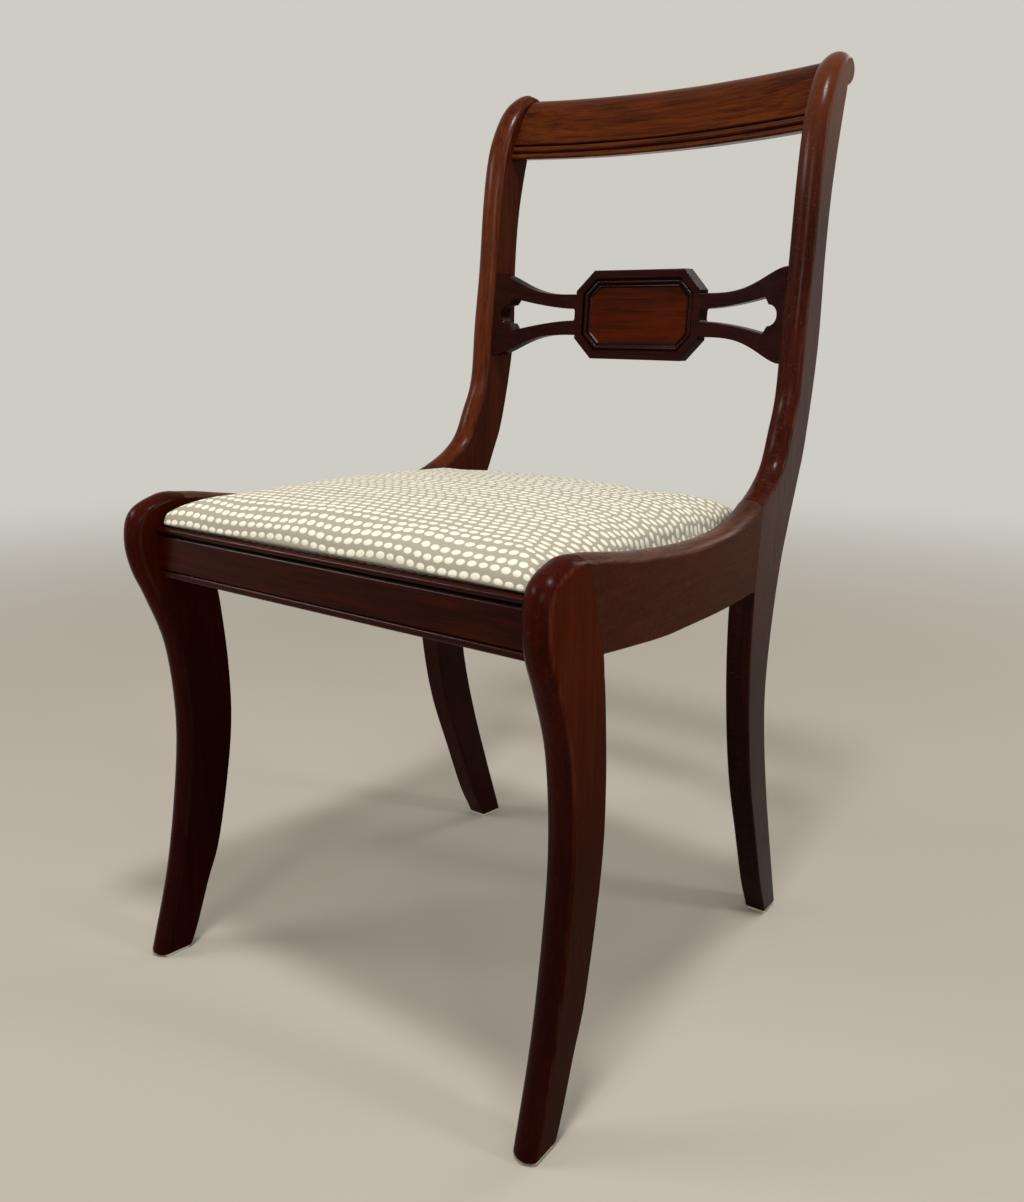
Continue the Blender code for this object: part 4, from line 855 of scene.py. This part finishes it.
flat = [flat_place(share) for share in shares]
layout = cushion.data.uv_layers.new(name="flat fabric")
for loop in cushion.data.loops:
    layout.data[loop.index].uv = flat[loop.vertex_index]
print("flat fabric", round(2 * max(place.x for place in flat), 3), "m wide")

# %% Cushion: hollow it for the frame and the webbing
COVER_WALL = 1.3 * MM           # thickness of the cover beside the frame
FRAME_GAP = 0.4 * MM            # play above the seat's frame
WEB_INSET = 18 * MM             # the webbing starts this far in from the edge


def underside(face):
    """Whether a face belongs to the pad's flat bottom."""
    return face.normal.z < -0.9 and face.calc_center_median().z < seat_low + 1 * MM


edit(cushion, "faces", underside)
bpy.ops.mesh.inset(thickness=COVER_WALL)
hollow = frame_top + FRAME_GAP - seat_low
bpy.ops.mesh.extrude_region_move(TRANSFORM_OT_translate={"value": (0, 0, hollow)})
bpy.ops.mesh.inset(thickness=WEB_INSET)
bpy.ops.mesh.extrude_region_move(TRANSFORM_OT_translate={"value": (0, 0, web_top - frame_top)})
bpy.ops.object.mode_set(mode="OBJECT")
print("cushion rises to", round(max(v.co.z for v in cushion.data.vertices), 4))

# %% Cushion: swell it as cloth
SWELL_CAP = 3 * MM
FRAMES = 20
PRESSURE = 4.0
STRETCH_STIFFNESS = 15
BENDING_STIFFNESS = 2.0


def hold_lower_edge(piece):
    """A vertex group with the cover's lower edge and the hollow under the pad."""
    def held(vert):
        in_hollow = vert.co.z < web_top + 1 * MM and vert.normal.z < -0.3
        return in_hollow or vert.co.z < rail_top + 2 * LIP_GAP

    edit(piece, "verts", held)
    bpy.ops.object.vertex_group_add()
    bpy.ops.object.vertex_group_assign()
    bpy.ops.object.mode_set(mode="OBJECT")
    return piece.vertex_groups[-1].name


def swell(piece):
    """Let pressure swell a piece as cloth, and cap how far each point moves."""
    before = [vert.co.copy() for vert in piece.data.vertices]
    cloth = piece.modifiers.new("cloth", "CLOTH")
    cloth.settings.vertex_group_mass = hold_lower_edge(piece)
    cloth.settings.use_pressure = True
    cloth.settings.uniform_pressure_force = PRESSURE
    cloth.settings.tension_stiffness = STRETCH_STIFFNESS
    cloth.settings.compression_stiffness = STRETCH_STIFFNESS
    cloth.settings.bending_stiffness = BENDING_STIFFNESS
    cloth.settings.effector_weights.gravity = 0
    cloth.point_cache.frame_start = 1
    cloth.point_cache.frame_end = FRAMES
    for number in range(1, FRAMES + 1):
        scene.frame_set(number)
    only(piece)
    bpy.ops.object.modifier_apply(modifier=cloth.name)
    scene.frame_set(1)
    moved = 0.0
    for vert, start in zip(piece.data.vertices, before):
        step = vert.co - start
        if step.length > SWELL_CAP:
            vert.co = start + step * (SWELL_CAP / step.length)
        moved = max(moved, min(step.length, SWELL_CAP))
    piece.data.update()
    return moved


print(f"cushion swelled by up to {1000 * swell(cushion):.1f} mm")

# %% Cushion: keep it inside the rails, and finish it
def inside_rails(point):
    """Hold a point of the cushion clear of the rails."""
    half = seat_half(point.y)
    lean = FRONT_BULGE * eased((point.z - rail_top - LIP_GAP) / BULGE_RISE)
    x = max(-half, min(half, point.x))
    y = max(lip_y + LIP_PLAY - lean, min(seat_back, point.y))
    return Vector((x, y, point.z))


edit(cushion, "verts", lambda vert: vert.co.z > rail_top and vert.normal.z > 0.4)
bpy.ops.mesh.vertices_smooth(factor=0.5, repeat=2)
reshape(cushion, inside_rails)
only(cushion)
finer = cushion.modifiers.new("finer", "SUBSURF")
finer.levels = 1
finer.render_levels = 1
bpy.ops.object.modifier_apply(modifier=finer.name)
reshape(cushion, inside_rails)
bpy.ops.object.shade_smooth()
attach(cushion, "seat")
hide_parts("seat_cover", "seat_stuffing")
cushion_top = max(vert.co.z for vert in cushion.data.vertices)
print("cushion", len(cushion.data.polygons), "faces, top at", round(cushion_top, 4))

# %% [markdown]
# ## Under the seat
# A black lining closes the seat from below, and jute webbing carries the stuffing. Both are cloth, so
# each is a fine grid with a little sag or wave, given a thickness at the end.

# %% Dust cover
lining_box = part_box("dust_cover")
LINING_CELLS = (44, 38)
LINING_THICKNESS = 0.6 * MM
LINING_INSET = 4 * MM           # from the seat's edge
LINING_GAP = 0.1 * MM           # under the seat's frame
LINING_SAG = 3 * MM
LINING_RIPPLE = 0.4 * MM
RIPPLES = 14                    # per metre
SAG_EASE = 60 * MM              # the sag comes in over this width
LEDGE_MARGIN = 70 * MM          # the lining lies flat on the ledge and the blocks up to here
CLOTH_SMOOTH = math.radians(50)

bpy.ops.object.select_all(action="DESELECT")
bpy.ops.mesh.primitive_grid_add(x_subdivisions=LINING_CELLS[0], y_subdivisions=LINING_CELLS[1], size=2)
dust_cover = bpy.context.active_object
dust_cover.name = "dust_cover_cloth"


def lining_place(point):
    """Stretch the grid to the seat's plan, and let its middle sag."""
    y = lining_box[0].y + (lining_box[1].y - lining_box[0].y) * (point.y + 1) / 2
    half = seat_half(y) - LINING_INSET
    x = half * point.x
    edge = min(half - abs(x), y - lining_box[0].y, lining_box[1].y - y)
    ripple = LINING_RIPPLE * noise.noise(Vector((x * RIPPLES, y * RIPPLES, 3)))
    sag = eased((edge - LEDGE_MARGIN) / SAG_EASE) * (LINING_SAG + ripple)
    return Vector((x, y, lining_box[1].z - LINING_GAP - sag))


def thicken(piece, thickness):
    """Give a cloth grid its thickness, below its own surface."""
    only(piece)
    wall = piece.modifiers.new("thickness", "SOLIDIFY")
    wall.thickness = thickness
    wall.offset = -1
    bpy.ops.object.modifier_apply(modifier=wall.name)


reshape(dust_cover, lining_place)
thicken(dust_cover, LINING_THICKNESS)
bpy.ops.object.shade_smooth_by_angle(angle=CLOTH_SMOOTH)
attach(dust_cover, "seat")
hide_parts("dust_cover")

# %% Webbing
STRAP_CELLS = (10, 60)          # across and along a strap
STRAP_WAVE = 0.1 * MM
STRAP_RIBS = 700                # radians of the wave in a metre
STRAP_PLAY = 0.3 * MM           # the wave and a gap below it


def strap(name):
    """A woven strap in the place of its CAD node, with a slight wave from the weaving."""
    low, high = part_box(name)
    size = high - low
    lengthwise = size.y > size.x
    across, along = STRAP_CELLS
    bpy.ops.object.select_all(action="DESELECT")
    bpy.ops.mesh.primitive_grid_add(x_subdivisions=across if lengthwise else along,
                                    y_subdivisions=along if lengthwise else across, size=2)
    piece = bpy.context.active_object
    piece.name = name + "_woven"

    def strap_place(point):
        x = low.x + size.x * (point.x + 1) / 2
        y = low.y + size.y * (point.y + 1) / 2
        return Vector((x, y, high.z - STRAP_WAVE * (1 + math.sin(STRAP_RIBS * (x + y)))))

    reshape(piece, strap_place)
    thicken(piece, size.z - STRAP_PLAY)
    bpy.ops.object.shade_smooth_by_angle(angle=CLOTH_SMOOTH)
    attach(piece, "seat")
    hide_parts(name)
    return piece


straps = [strap(name) for name in sorted(nodes) if name.startswith("webbing")]
print(len(straps), "straps")

# %% [markdown]
# ## Felt pads
# Thin felt pads under the feet show as pale edges. Each is a flat block with round corners and soft
# edges, so a welded copy of the CAD pad and two bevels are enough.

# %% Felt pads
PAD_CORNER = 2.5 * MM
PAD_EDGE = 0.5 * MM


def felt_pad(name):
    """A pad in the place of its CAD node, with round corners and soft edges."""
    low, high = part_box(name)
    piece = welded_copy(name)
    piece.name = name + "_felt"
    edit(piece, "edges", lambda edge: abs(edge.verts[0].co.z - edge.verts[1].co.z) > 1 * MM)
    bpy.ops.mesh.bevel(offset=PAD_CORNER, segments=4, affect="EDGES")
    edit(piece, "edges", lambda edge: all(vert.co.z > high.z - 0.1 * MM for vert in edge.verts)
         or all(vert.co.z < low.z + 0.1 * MM for vert in edge.verts))
    bpy.ops.mesh.bevel(offset=PAD_EDGE, segments=2, affect="EDGES")
    bpy.ops.object.mode_set(mode="OBJECT")
    smooth(piece)
    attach(piece, "frame")
    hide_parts(name)
    return piece


pads = [felt_pad(name) for name in sorted(nodes) if name.startswith("foot_pad")]
print(len(pads), "felt pads")

# %% [markdown]
# ## Polished mahogany
# Mahogany is a red-brown hardwood with fine open pores. Under many coats of polish it turns dark and
# glossy, with orange-brown where light gets into the grain. Grain runs along each board, so every
# board's material stretches the same noises along its own length. On top of the wood lie thin layers,
# each a share and a colour: dark pores, painted shade under the seat and on the faces that look at the
# chair's middle, near-black waxy residue and painted shade in the grooves, and polish that is worn pale
# along the edges, which also paints a highlight there, and scratched across the grain. Some boards also
# change into a second tone along their length; the right post's paler top is partly a painted sheen.
# Gloss stays low, because a pale room mirrored in dark wood looks grey.

# %% Mahogany material
# size, stretch along X, Y and Z before the board's turn, and detail; fibres and pores are drawn two
# or three times as coarse as real ones, which would not show
GRAIN = {
    "band": (6 * MM, (1, 1, 15), 2),
    "fibre": (1.5 * MM, (1, 1, 40), 2),
    "pore": (0.9 * MM, (1, 1, 9), 1),
    "blotch": (55 * MM, (1, 1, 4), 3),
    "rub": (9 * MM, (1, 1, 9), 5),
    "scratch": (0.8 * MM, (18, 1, 1), 1),
    "smear": (35 * MM, (1, 1, 1), 6),
}
LEG_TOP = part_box("back_rail")[0].z
SEAT_SHADE_DEPTH = 150 * MM           # painted shade under the seat deepens over this height
INNER_FROM = -90 * MM           # painted shade on faces that look at the middle deepens between
INNER_TO = -170 * MM            # these distances from it


def polished_mahogany(name, grain_turn, face, crown=None, below_seat=0.0, inner=0.0, scratched=0.0,
                      fade=None, gloss=0.05):
    """French-polished mahogany. face and crown are (dark, light) pairs of hex colours, for flat sides and
    for rounded edges. below_seat and inner are shares of painted shade under the seat and on the faces
    that look at the chair's middle, and scratched is that of scratches. fade is an axis, where a second
    tone starts and is full along it, its shares on rounded edges and on flat sides, and its colour."""
    made, node, link, shader = new_material(name)
    place = node("TexCoord", output="Object")
    turn = [math.radians(angle) for angle in grain_turn]
    noises = {}
    for what, (size, stretch, detail) in GRAIN.items():
        along = node("Mapping", {"Vector": place, "Rotation": turn, "Scale": stretch}, vector_type="TEXTURE")
        noises[what] = node("TexNoise", {"Vector": along, "Scale": 1 / size, "Detail": detail,
                                         "Roughness": 0.6})

    grain = node("Mix", {0: 0.5, 2: noises["band"], 3: noises["fibre"]})
    grain = node("Mix", {0: 0.35, 2: grain, 3: noises["blotch"]})
    tone = node("MapRange", {0: grain, 1: 0.39, 2: 0.61})
    facing = node("SeparateXYZ", {0: node("TexCoord", output="Normal")}, output="X")
    flatness = node("Math", {0: facing}, operation="ABSOLUTE")
    flatness = node("MapRange", {0: flatness, 1: 0.75, 2: 0.96})
    shades = [node("Mix", {0: tone, 6: linear(dark), 7: linear(light)}, 2, data_type="RGBA")
              for dark, light in (crown or face, face)]
    wood = node("Mix", {0: flatness, 6: shades[0], 7: shades[1]}, 2, data_type="RGBA")

    height = node("SeparateXYZ", {0: place}, output="Z")
    outward = node("Math", {0: node("SeparateXYZ", {0: place}), 1: facing}, operation="MULTIPLY")
    wear_and_highlight = node("Attribute", output="Fac", attribute_name="wear_and_highlight")
    dents = node("MapRange", {0: noises["scratch"], 1: 0.66, 2: 0.78, 4: scratched})
    rubbed_and_highlight = node("MapRange", {0: noises["rub"], 1: 0.42, 2: 0.72, 4: 0.38})
    layers = [
        (node("MapRange", {0: noises["pore"], 1: 0.60, 2: 0.74, 4: 0.28}), "#0C0201"),
        (dents, "#7A5648"),
        # pale worn polish on the bevels, which is also a painted highlight along the edges
        (node("Math", {0: wear_and_highlight, 1: rubbed_and_highlight}, operation="MULTIPLY"), "#6B4236"),
        # painted shade under the seat
        (node("MapRange", {0: height, 1: LEG_TOP, 2: LEG_TOP - SEAT_SHADE_DEPTH, 4: below_seat}), "#100201"),
        # painted shade on the faces that look at the chair's middle
        (node("MapRange", {0: outward, 1: INNER_FROM, 2: INNER_TO, 4: inner}), "#100201"),
        # near-black waxy residue and painted shade in the grooves
        (node("Attribute", output="Fac", attribute_name="wax_and_shade"), "#070202"),
    ]
    # a second tone along the board: dark grime on the side rails, and a paler top on the right post that is
    # partly a painted sheen
    if fade:
        axis, start, end, on_crown, on_face, colour = fade
        along = node("SeparateXYZ", {0: place}, output=axis)
        strongest = node("MapRange", {0: flatness, 3: on_crown, 4: on_face})
        layers.insert(0, (node("MapRange", {0: along, 1: start, 2: end, 4: strongest}), colour))
    for share, colour in layers:
        wood = node("Mix", {0: share, 6: wood, 7: linear(colour)}, 2, data_type="RGBA")
    link(wood, shader.inputs["Base Color"])
    smeared = node("MapRange", {0: noises["smear"], 1: 0.3, 2: 0.7, 3: 0.14, 4: 0.30})
    link(smeared, shader.inputs["Roughness"])
    bump = node("Bump", {"Strength": 0.2, "Distance": 0.1 * MM, "Height": noises["pore"]}, invert=True)
    bump = node("Bump", {"Strength": 0.6, "Distance": 0.4 * MM, "Height": dents, "Normal": bump}, invert=True)
    link(bump, shader.inputs["Normal"])
    shader.inputs["Specular IOR Level"].default_value = gloss
    return made


print(len(GRAIN), "noises draw the grain")

# %% Mahogany: one finish for each kind of board
ALONG_X = (0, 90, 0)
ALONG_Y = (90, 0, 0)
ALONG_Z = (0, 0, 0)
# below_seat and inner are shares of painted shade
LEG = {"grain_turn": ALONG_Z, "face": ("#360D00", "#481600"), "crown": ("#240502", "#380D04"),
       "below_seat": 0.65, "inner": 0.6, "scratched": 0.2}
SPLAT = {"grain_turn": ALONG_X, "face": ("#140301", "#270903")}
finishes = {
    "front_leg": polished_mahogany("polished mahogany, leg", gloss=0.03, **LEG),
    "leg_side": polished_mahogany("satin mahogany, leg side", gloss=0.011, **LEG),
    "side_rail": polished_mahogany("polished mahogany, side rail", ALONG_Y, ("#2E0F04", "#3F1806"),
                                   ("#301A11", "#573728"), inner=0.5, scratched=0.5, gloss=0.02,
                                   fade=("Y", 0.02, 0.13, 0.8, 0.0, "#170E0A")),
    "back_post_left": polished_mahogany("polished mahogany, left post", ALONG_Z, ("#2C0B03", "#481A06"),
                                        ("#320E04", "#53240D"), below_seat=0.75, inner=0.2, scratched=0.25),
    # the right post grows paler towards the top: partly a lighter wood tone, partly a painted sheen
    "back_post_right": polished_mahogany("polished mahogany, right post", ALONG_Z, ("#29120D", "#432218"),
                                         ("#1C0503", "#3A1107"), below_seat=0.8, inner=0.3, scratched=0.5,
                                         fade=("Z", 0.69, 0.83, 0.4, 0.65, "#66361F")),
    "crest_rail": polished_mahogany("polished mahogany, crest", ALONG_X, ("#290C02", "#502207")),
    "splat": polished_mahogany("polished mahogany, splat", gloss=0.06, **SPLAT),
    "splat_rim": polished_mahogany("stained mahogany, splat rim", gloss=0.01, **SPLAT),
    "field": polished_mahogany("polished mahogany, tablet field", ALONG_X, ("#240700", "#421300")),
    "front_rail": polished_mahogany("polished mahogany, front rail", ALONG_X, ("#1A0300", "#320C03"),
                                    gloss=0.07),
}
print(len(finishes), "mahogany finishes")

# %% Mahogany: dress the boards
FACES_ALONG = 0.9               # a normal this long along an axis belongs to a flat side
FACES_ACROSS = 0.5              # and one shorter than this to a rim


def dress(piece, *materials):
    """Give a piece these materials and no other."""
    piece.data.materials.clear()
    for material in materials:
        piece.data.materials.append(material)


for name, piece in boards.items():
    dress(piece, finishes.get(name) or finishes[name.rsplit("_", 1)[0]])
for leg in (boards["front_leg_left"], boards["front_leg_right"]):
    dress(leg, finishes["front_leg"], finishes["leg_side"])
    for face in leg.data.polygons:
        face.material_index = int(abs(face.normal.x) > FACES_ALONG)
dress(crest_rail, finishes["crest_rail"])
dress(front_rail, finishes["front_rail"])
dress(back_rail, finishes["front_rail"])
dress(splat, finishes["splat"], finishes["field"], finishes["splat_rim"])
for face in splat.data.polygons:
    inset = tablet_inset(face.center - Vector((0, 0, splat_level)))
    if face.normal.y < -FACES_ALONG and inset > FIELD_INSET:
        face.material_index = 1
    elif abs(face.normal.y) < FACES_ACROSS and inset < 0:
        face.material_index = 2
print("mahogany boards dressed")

# %% [markdown]
# ## Dotted fabric
# The cover is a taupe cotton with raised cream dots, set in gently wavy rows. Each dot has its own
# small shift and size. The rows run across the seat, so the pattern reads the flat layout that was
# kept in the UV map, where one unit is one metre.

# %% Dotted fabric material
DOT_PITCH = 10.5 * MM           # between dots along a row
ROW_PITCH = 8.9 * MM            # between rows
DOT_RADIUS = 2.7 * MM           # across the row
DOT_STRETCH = 1.57              # dots are wider along the row
DOT_SIZES = (0.9, 1.08)         # shares of the radius
DOT_SHIFT = (0.5 * MM, 0.3 * MM)
ROW_WAVE = 2.6 * MM             # how far one row may leave its neighbours
ROW_WAVE_LENGTH = 70 * MM
ROW_UNLIKENESS = 0.45           # how fast that wave changes from row to row
CLOTH_WAVE = 14 * MM            # how far all rows wave together
CLOTH_WAVE_LENGTH = 100 * MM
DOT_PUFF = 0.45 * MM
THREAD = 0.9 * MM               # real threads are about half as wide, too fine to show
WAVES = 3.2                     # a wave texture of scale 1 has this many waves in a metre
WEAVE_RELIEF = 0.12 * MM


def dotted_cotton(name, ground, dot):
    """Woven taupe cotton with slightly puffy cream dots: matt, with a soft bloom along its edges."""
    made, node, link, shader = new_material(name)
    flat = node("UVMap", uv_map="flat fabric")
    plan_x = node("SeparateXYZ", {0: flat}, output="X")
    plan_y = node("SeparateXYZ", {0: flat}, output="Y")

    # rows: the cloth's own wave bends all of them, and floor and fraction give a row and a place in it
    wave = node("TexNoise", {"Vector": flat, "Scale": 1 / CLOTH_WAVE_LENGTH, "Detail": 1.0})
    wave = node("MapRange", {0: wave, 3: -CLOTH_WAVE / 2, 4: CLOTH_WAVE / 2})
    row = node("Math", {0: plan_y, 1: wave}, operation="ADD")
    row = node("Math", {0: row, 1: ROW_PITCH}, operation="DIVIDE")
    row_number = node("Math", {0: row}, operation="FLOOR")
    row_share = node("Math", {0: row}, operation="FRACT")

    # columns: each row starts at a place of its own
    row_start = node("TexWhiteNoise", {"W": row_number}, noise_dimensions="1D")
    column = node("Math", {0: plan_x, 1: 1 / DOT_PITCH, 2: row_start}, operation="MULTIPLY_ADD")
    column_number = node("Math", {0: column}, operation="FLOOR")
    column_share = node("Math", {0: column}, operation="FRACT")

    # each dot has its own shift and size, and each row its own slow wave
    cell = node("CombineXYZ", {"X": row_number, "Y": column_number})
    luck = node("TexWhiteNoise", {"Vector": cell}, output="Color", noise_dimensions="3D")
    own_x = node("Math", {0: plan_x, 1: 1 / ROW_WAVE_LENGTH}, operation="MULTIPLY")
    own_y = node("Math", {0: row_number, 1: ROW_UNLIKENESS}, operation="MULTIPLY")
    own_row = node("CombineXYZ", {"X": own_x, "Y": own_y})
    own_wave = node("TexNoise", {"Vector": own_row, "Scale": 1.0, "Detail": 0.0})
    own_wave = node("MapRange", {0: own_wave, 3: -ROW_WAVE, 4: ROW_WAVE})
    offsets = []
    for share, reach, way, drift in ((column_share, DOT_PITCH / DOT_STRETCH / 2, 0, 0.0),
                                     (row_share, ROW_PITCH / 2, 1, own_wave)):
        centred = node("MapRange", {0: share, 3: -reach, 4: reach})
        shift = node("SeparateColor", {0: luck}, output=way)
        shift = node("MapRange", {0: shift, 3: -DOT_SHIFT[way] / 2, 4: DOT_SHIFT[way] / 2})
        moved = node("Math", {0: centred, 1: shift}, operation="ADD")
        offsets.append(node("Math", {0: moved, 1: drift}, operation="ADD"))
    offset = node("CombineXYZ", {"X": offsets[0], "Y": offsets[1]})
    distance = node("VectorMath", {0: offset}, output="Value", operation="LENGTH")
    size = node("SeparateColor", {0: luck}, output=2)
    size = node("MapRange", {0: size, 3: DOT_SIZES[0] * DOT_RADIUS, 4: DOT_SIZES[1] * DOT_RADIUS})
    depth = node("Math", {0: size, 1: distance}, operation="SUBTRACT")

    # warp and weft make the weave that shows in the ground and in the dots
    thread_scale = 1 / (WAVES * THREAD)
    threads = [node("TexWave", {"Vector": flat, "Scale": thread_scale, "Distortion": 1.0, "Detail": 1.0,
                                "Detail Scale": 2.0}, output="Fac", bands_direction=way) for way in "XY"]
    weave = node("Math", {0: threads[0], 1: threads[1]}, operation="MULTIPLY")
    dotted = node("MapRange", {0: depth, 1: -0.25 * MM, 2: 0.35 * MM}, interpolation_type="SMOOTHSTEP")
    shades = [node("Mix", {0: weave, 6: linear(dark), 7: linear(light)}, 2, data_type="RGBA")
              for dark, light in (ground, dot)]
    colour = node("Mix", {0: dotted, 6: shades[0], 7: shades[1]}, 2, data_type="RGBA")
    link(colour, shader.inputs["Base Color"])
    puff = node("MapRange", {0: depth, 1: -0.3 * MM, 2: 2.0 * MM, 4: DOT_PUFF},
                interpolation_type="SMOOTHSTEP")
    relief = node("Math", {0: weave, 1: WEAVE_RELIEF, 2: puff}, operation="MULTIPLY_ADD")
    link(node("Bump", {"Strength": 1.0, "Distance": 1.0, "Height": relief}), shader.inputs["Normal"])
    shader.inputs["Roughness"].default_value = 0.85
    shader.inputs["Specular IOR Level"].default_value = 0.25
    shader.inputs["Sheen Weight"].default_value = 0.15
    return made


dress(cushion, dotted_cotton("dotted cotton", ("#918A78", "#A39D89"), ("#D8D1BD", "#E6DFCD")))
print("fabric ready")

# %% [markdown]
# ## Hidden materials
# Beech, jute, felt, lining and steel only show from below or when the seat is lifted out, but they
# are finished all the same: a part that can be turned round has no hidden side.

# %% Beech, jute, felt, lining, steel
def plain_finish(name, dark, light, grain, roughness, stretch=(1, 1, 1), metallic=0.0, bump_height=0.1 * MM):
    """A finish whose tone varies with one stretched noise, which also gives its bump."""
    made, node, link, shader = new_material(name)
    place = node("TexCoord", output="Object")
    stretched = node("Mapping", {"Vector": place, "Scale": stretch}, vector_type="TEXTURE")
    tone = node("TexNoise", {"Vector": stretched, "Scale": 1 / grain, "Detail": 5, "Roughness": 0.6})
    share = node("MapRange", {0: tone, 1: 0.3, 2: 0.7})
    colour = node("Mix", {0: share, 6: linear(dark), 7: linear(light)}, 2, data_type="RGBA")
    link(colour, shader.inputs["Base Color"])
    link(node("Bump", {"Strength": 1.0, "Distance": bump_height, "Height": tone}), shader.inputs["Normal"])
    shader.inputs["Roughness"].default_value = roughness
    shader.inputs["Metallic"].default_value = metallic
    return made


# what they give the eye: straight satin grain, coarse dull fibres, a soft matt nap, dull black cloth, and
# plating that is bright but uneven
BEECH = ("#A9824F", "#C9A571", 3 * MM, 0.6)
beech_x = plain_finish("planed beech, along X", *BEECH, stretch=(14, 1, 1))
beech_y = plain_finish("planed beech, along Y", *BEECH, stretch=(1, 14, 1))
jute = plain_finish("jute webbing", "#7A6039", "#A98A58", 1.6 * MM, 0.95, bump_height=0.4 * MM)
felt = plain_finish("pressed felt", "#B9AD97", "#D8CFBC", 1.2 * MM, 1.0, bump_height=0.3 * MM)
lining = plain_finish("black cambric lining", "#0B0B0C", "#1D1D1F", 1.0 * MM, 0.95)
steel = plain_finish("zinc-plated steel", "#8E8C86", "#B5B2AA", 2.0 * MM, 0.38, metallic=1.0,
                     bump_height=0.02 * MM)
for piece in straps:
    dress(piece, jute)
for piece in pads:
    dress(piece, felt)
dress(dust_cover, lining)
for name, solid in nodes.items():
    if name.startswith("corner_screw"):
        dress(solid, steel)
    elif name.startswith(("dowel_front", "dowel_back", "seat_frame_front", "seat_frame_back")):
        dress(solid, beech_x)
    elif name.startswith(("corner_block", "seat_bearer", "dowel", "seat_frame")):
        dress(solid, beech_y)
print("hidden pieces finished")
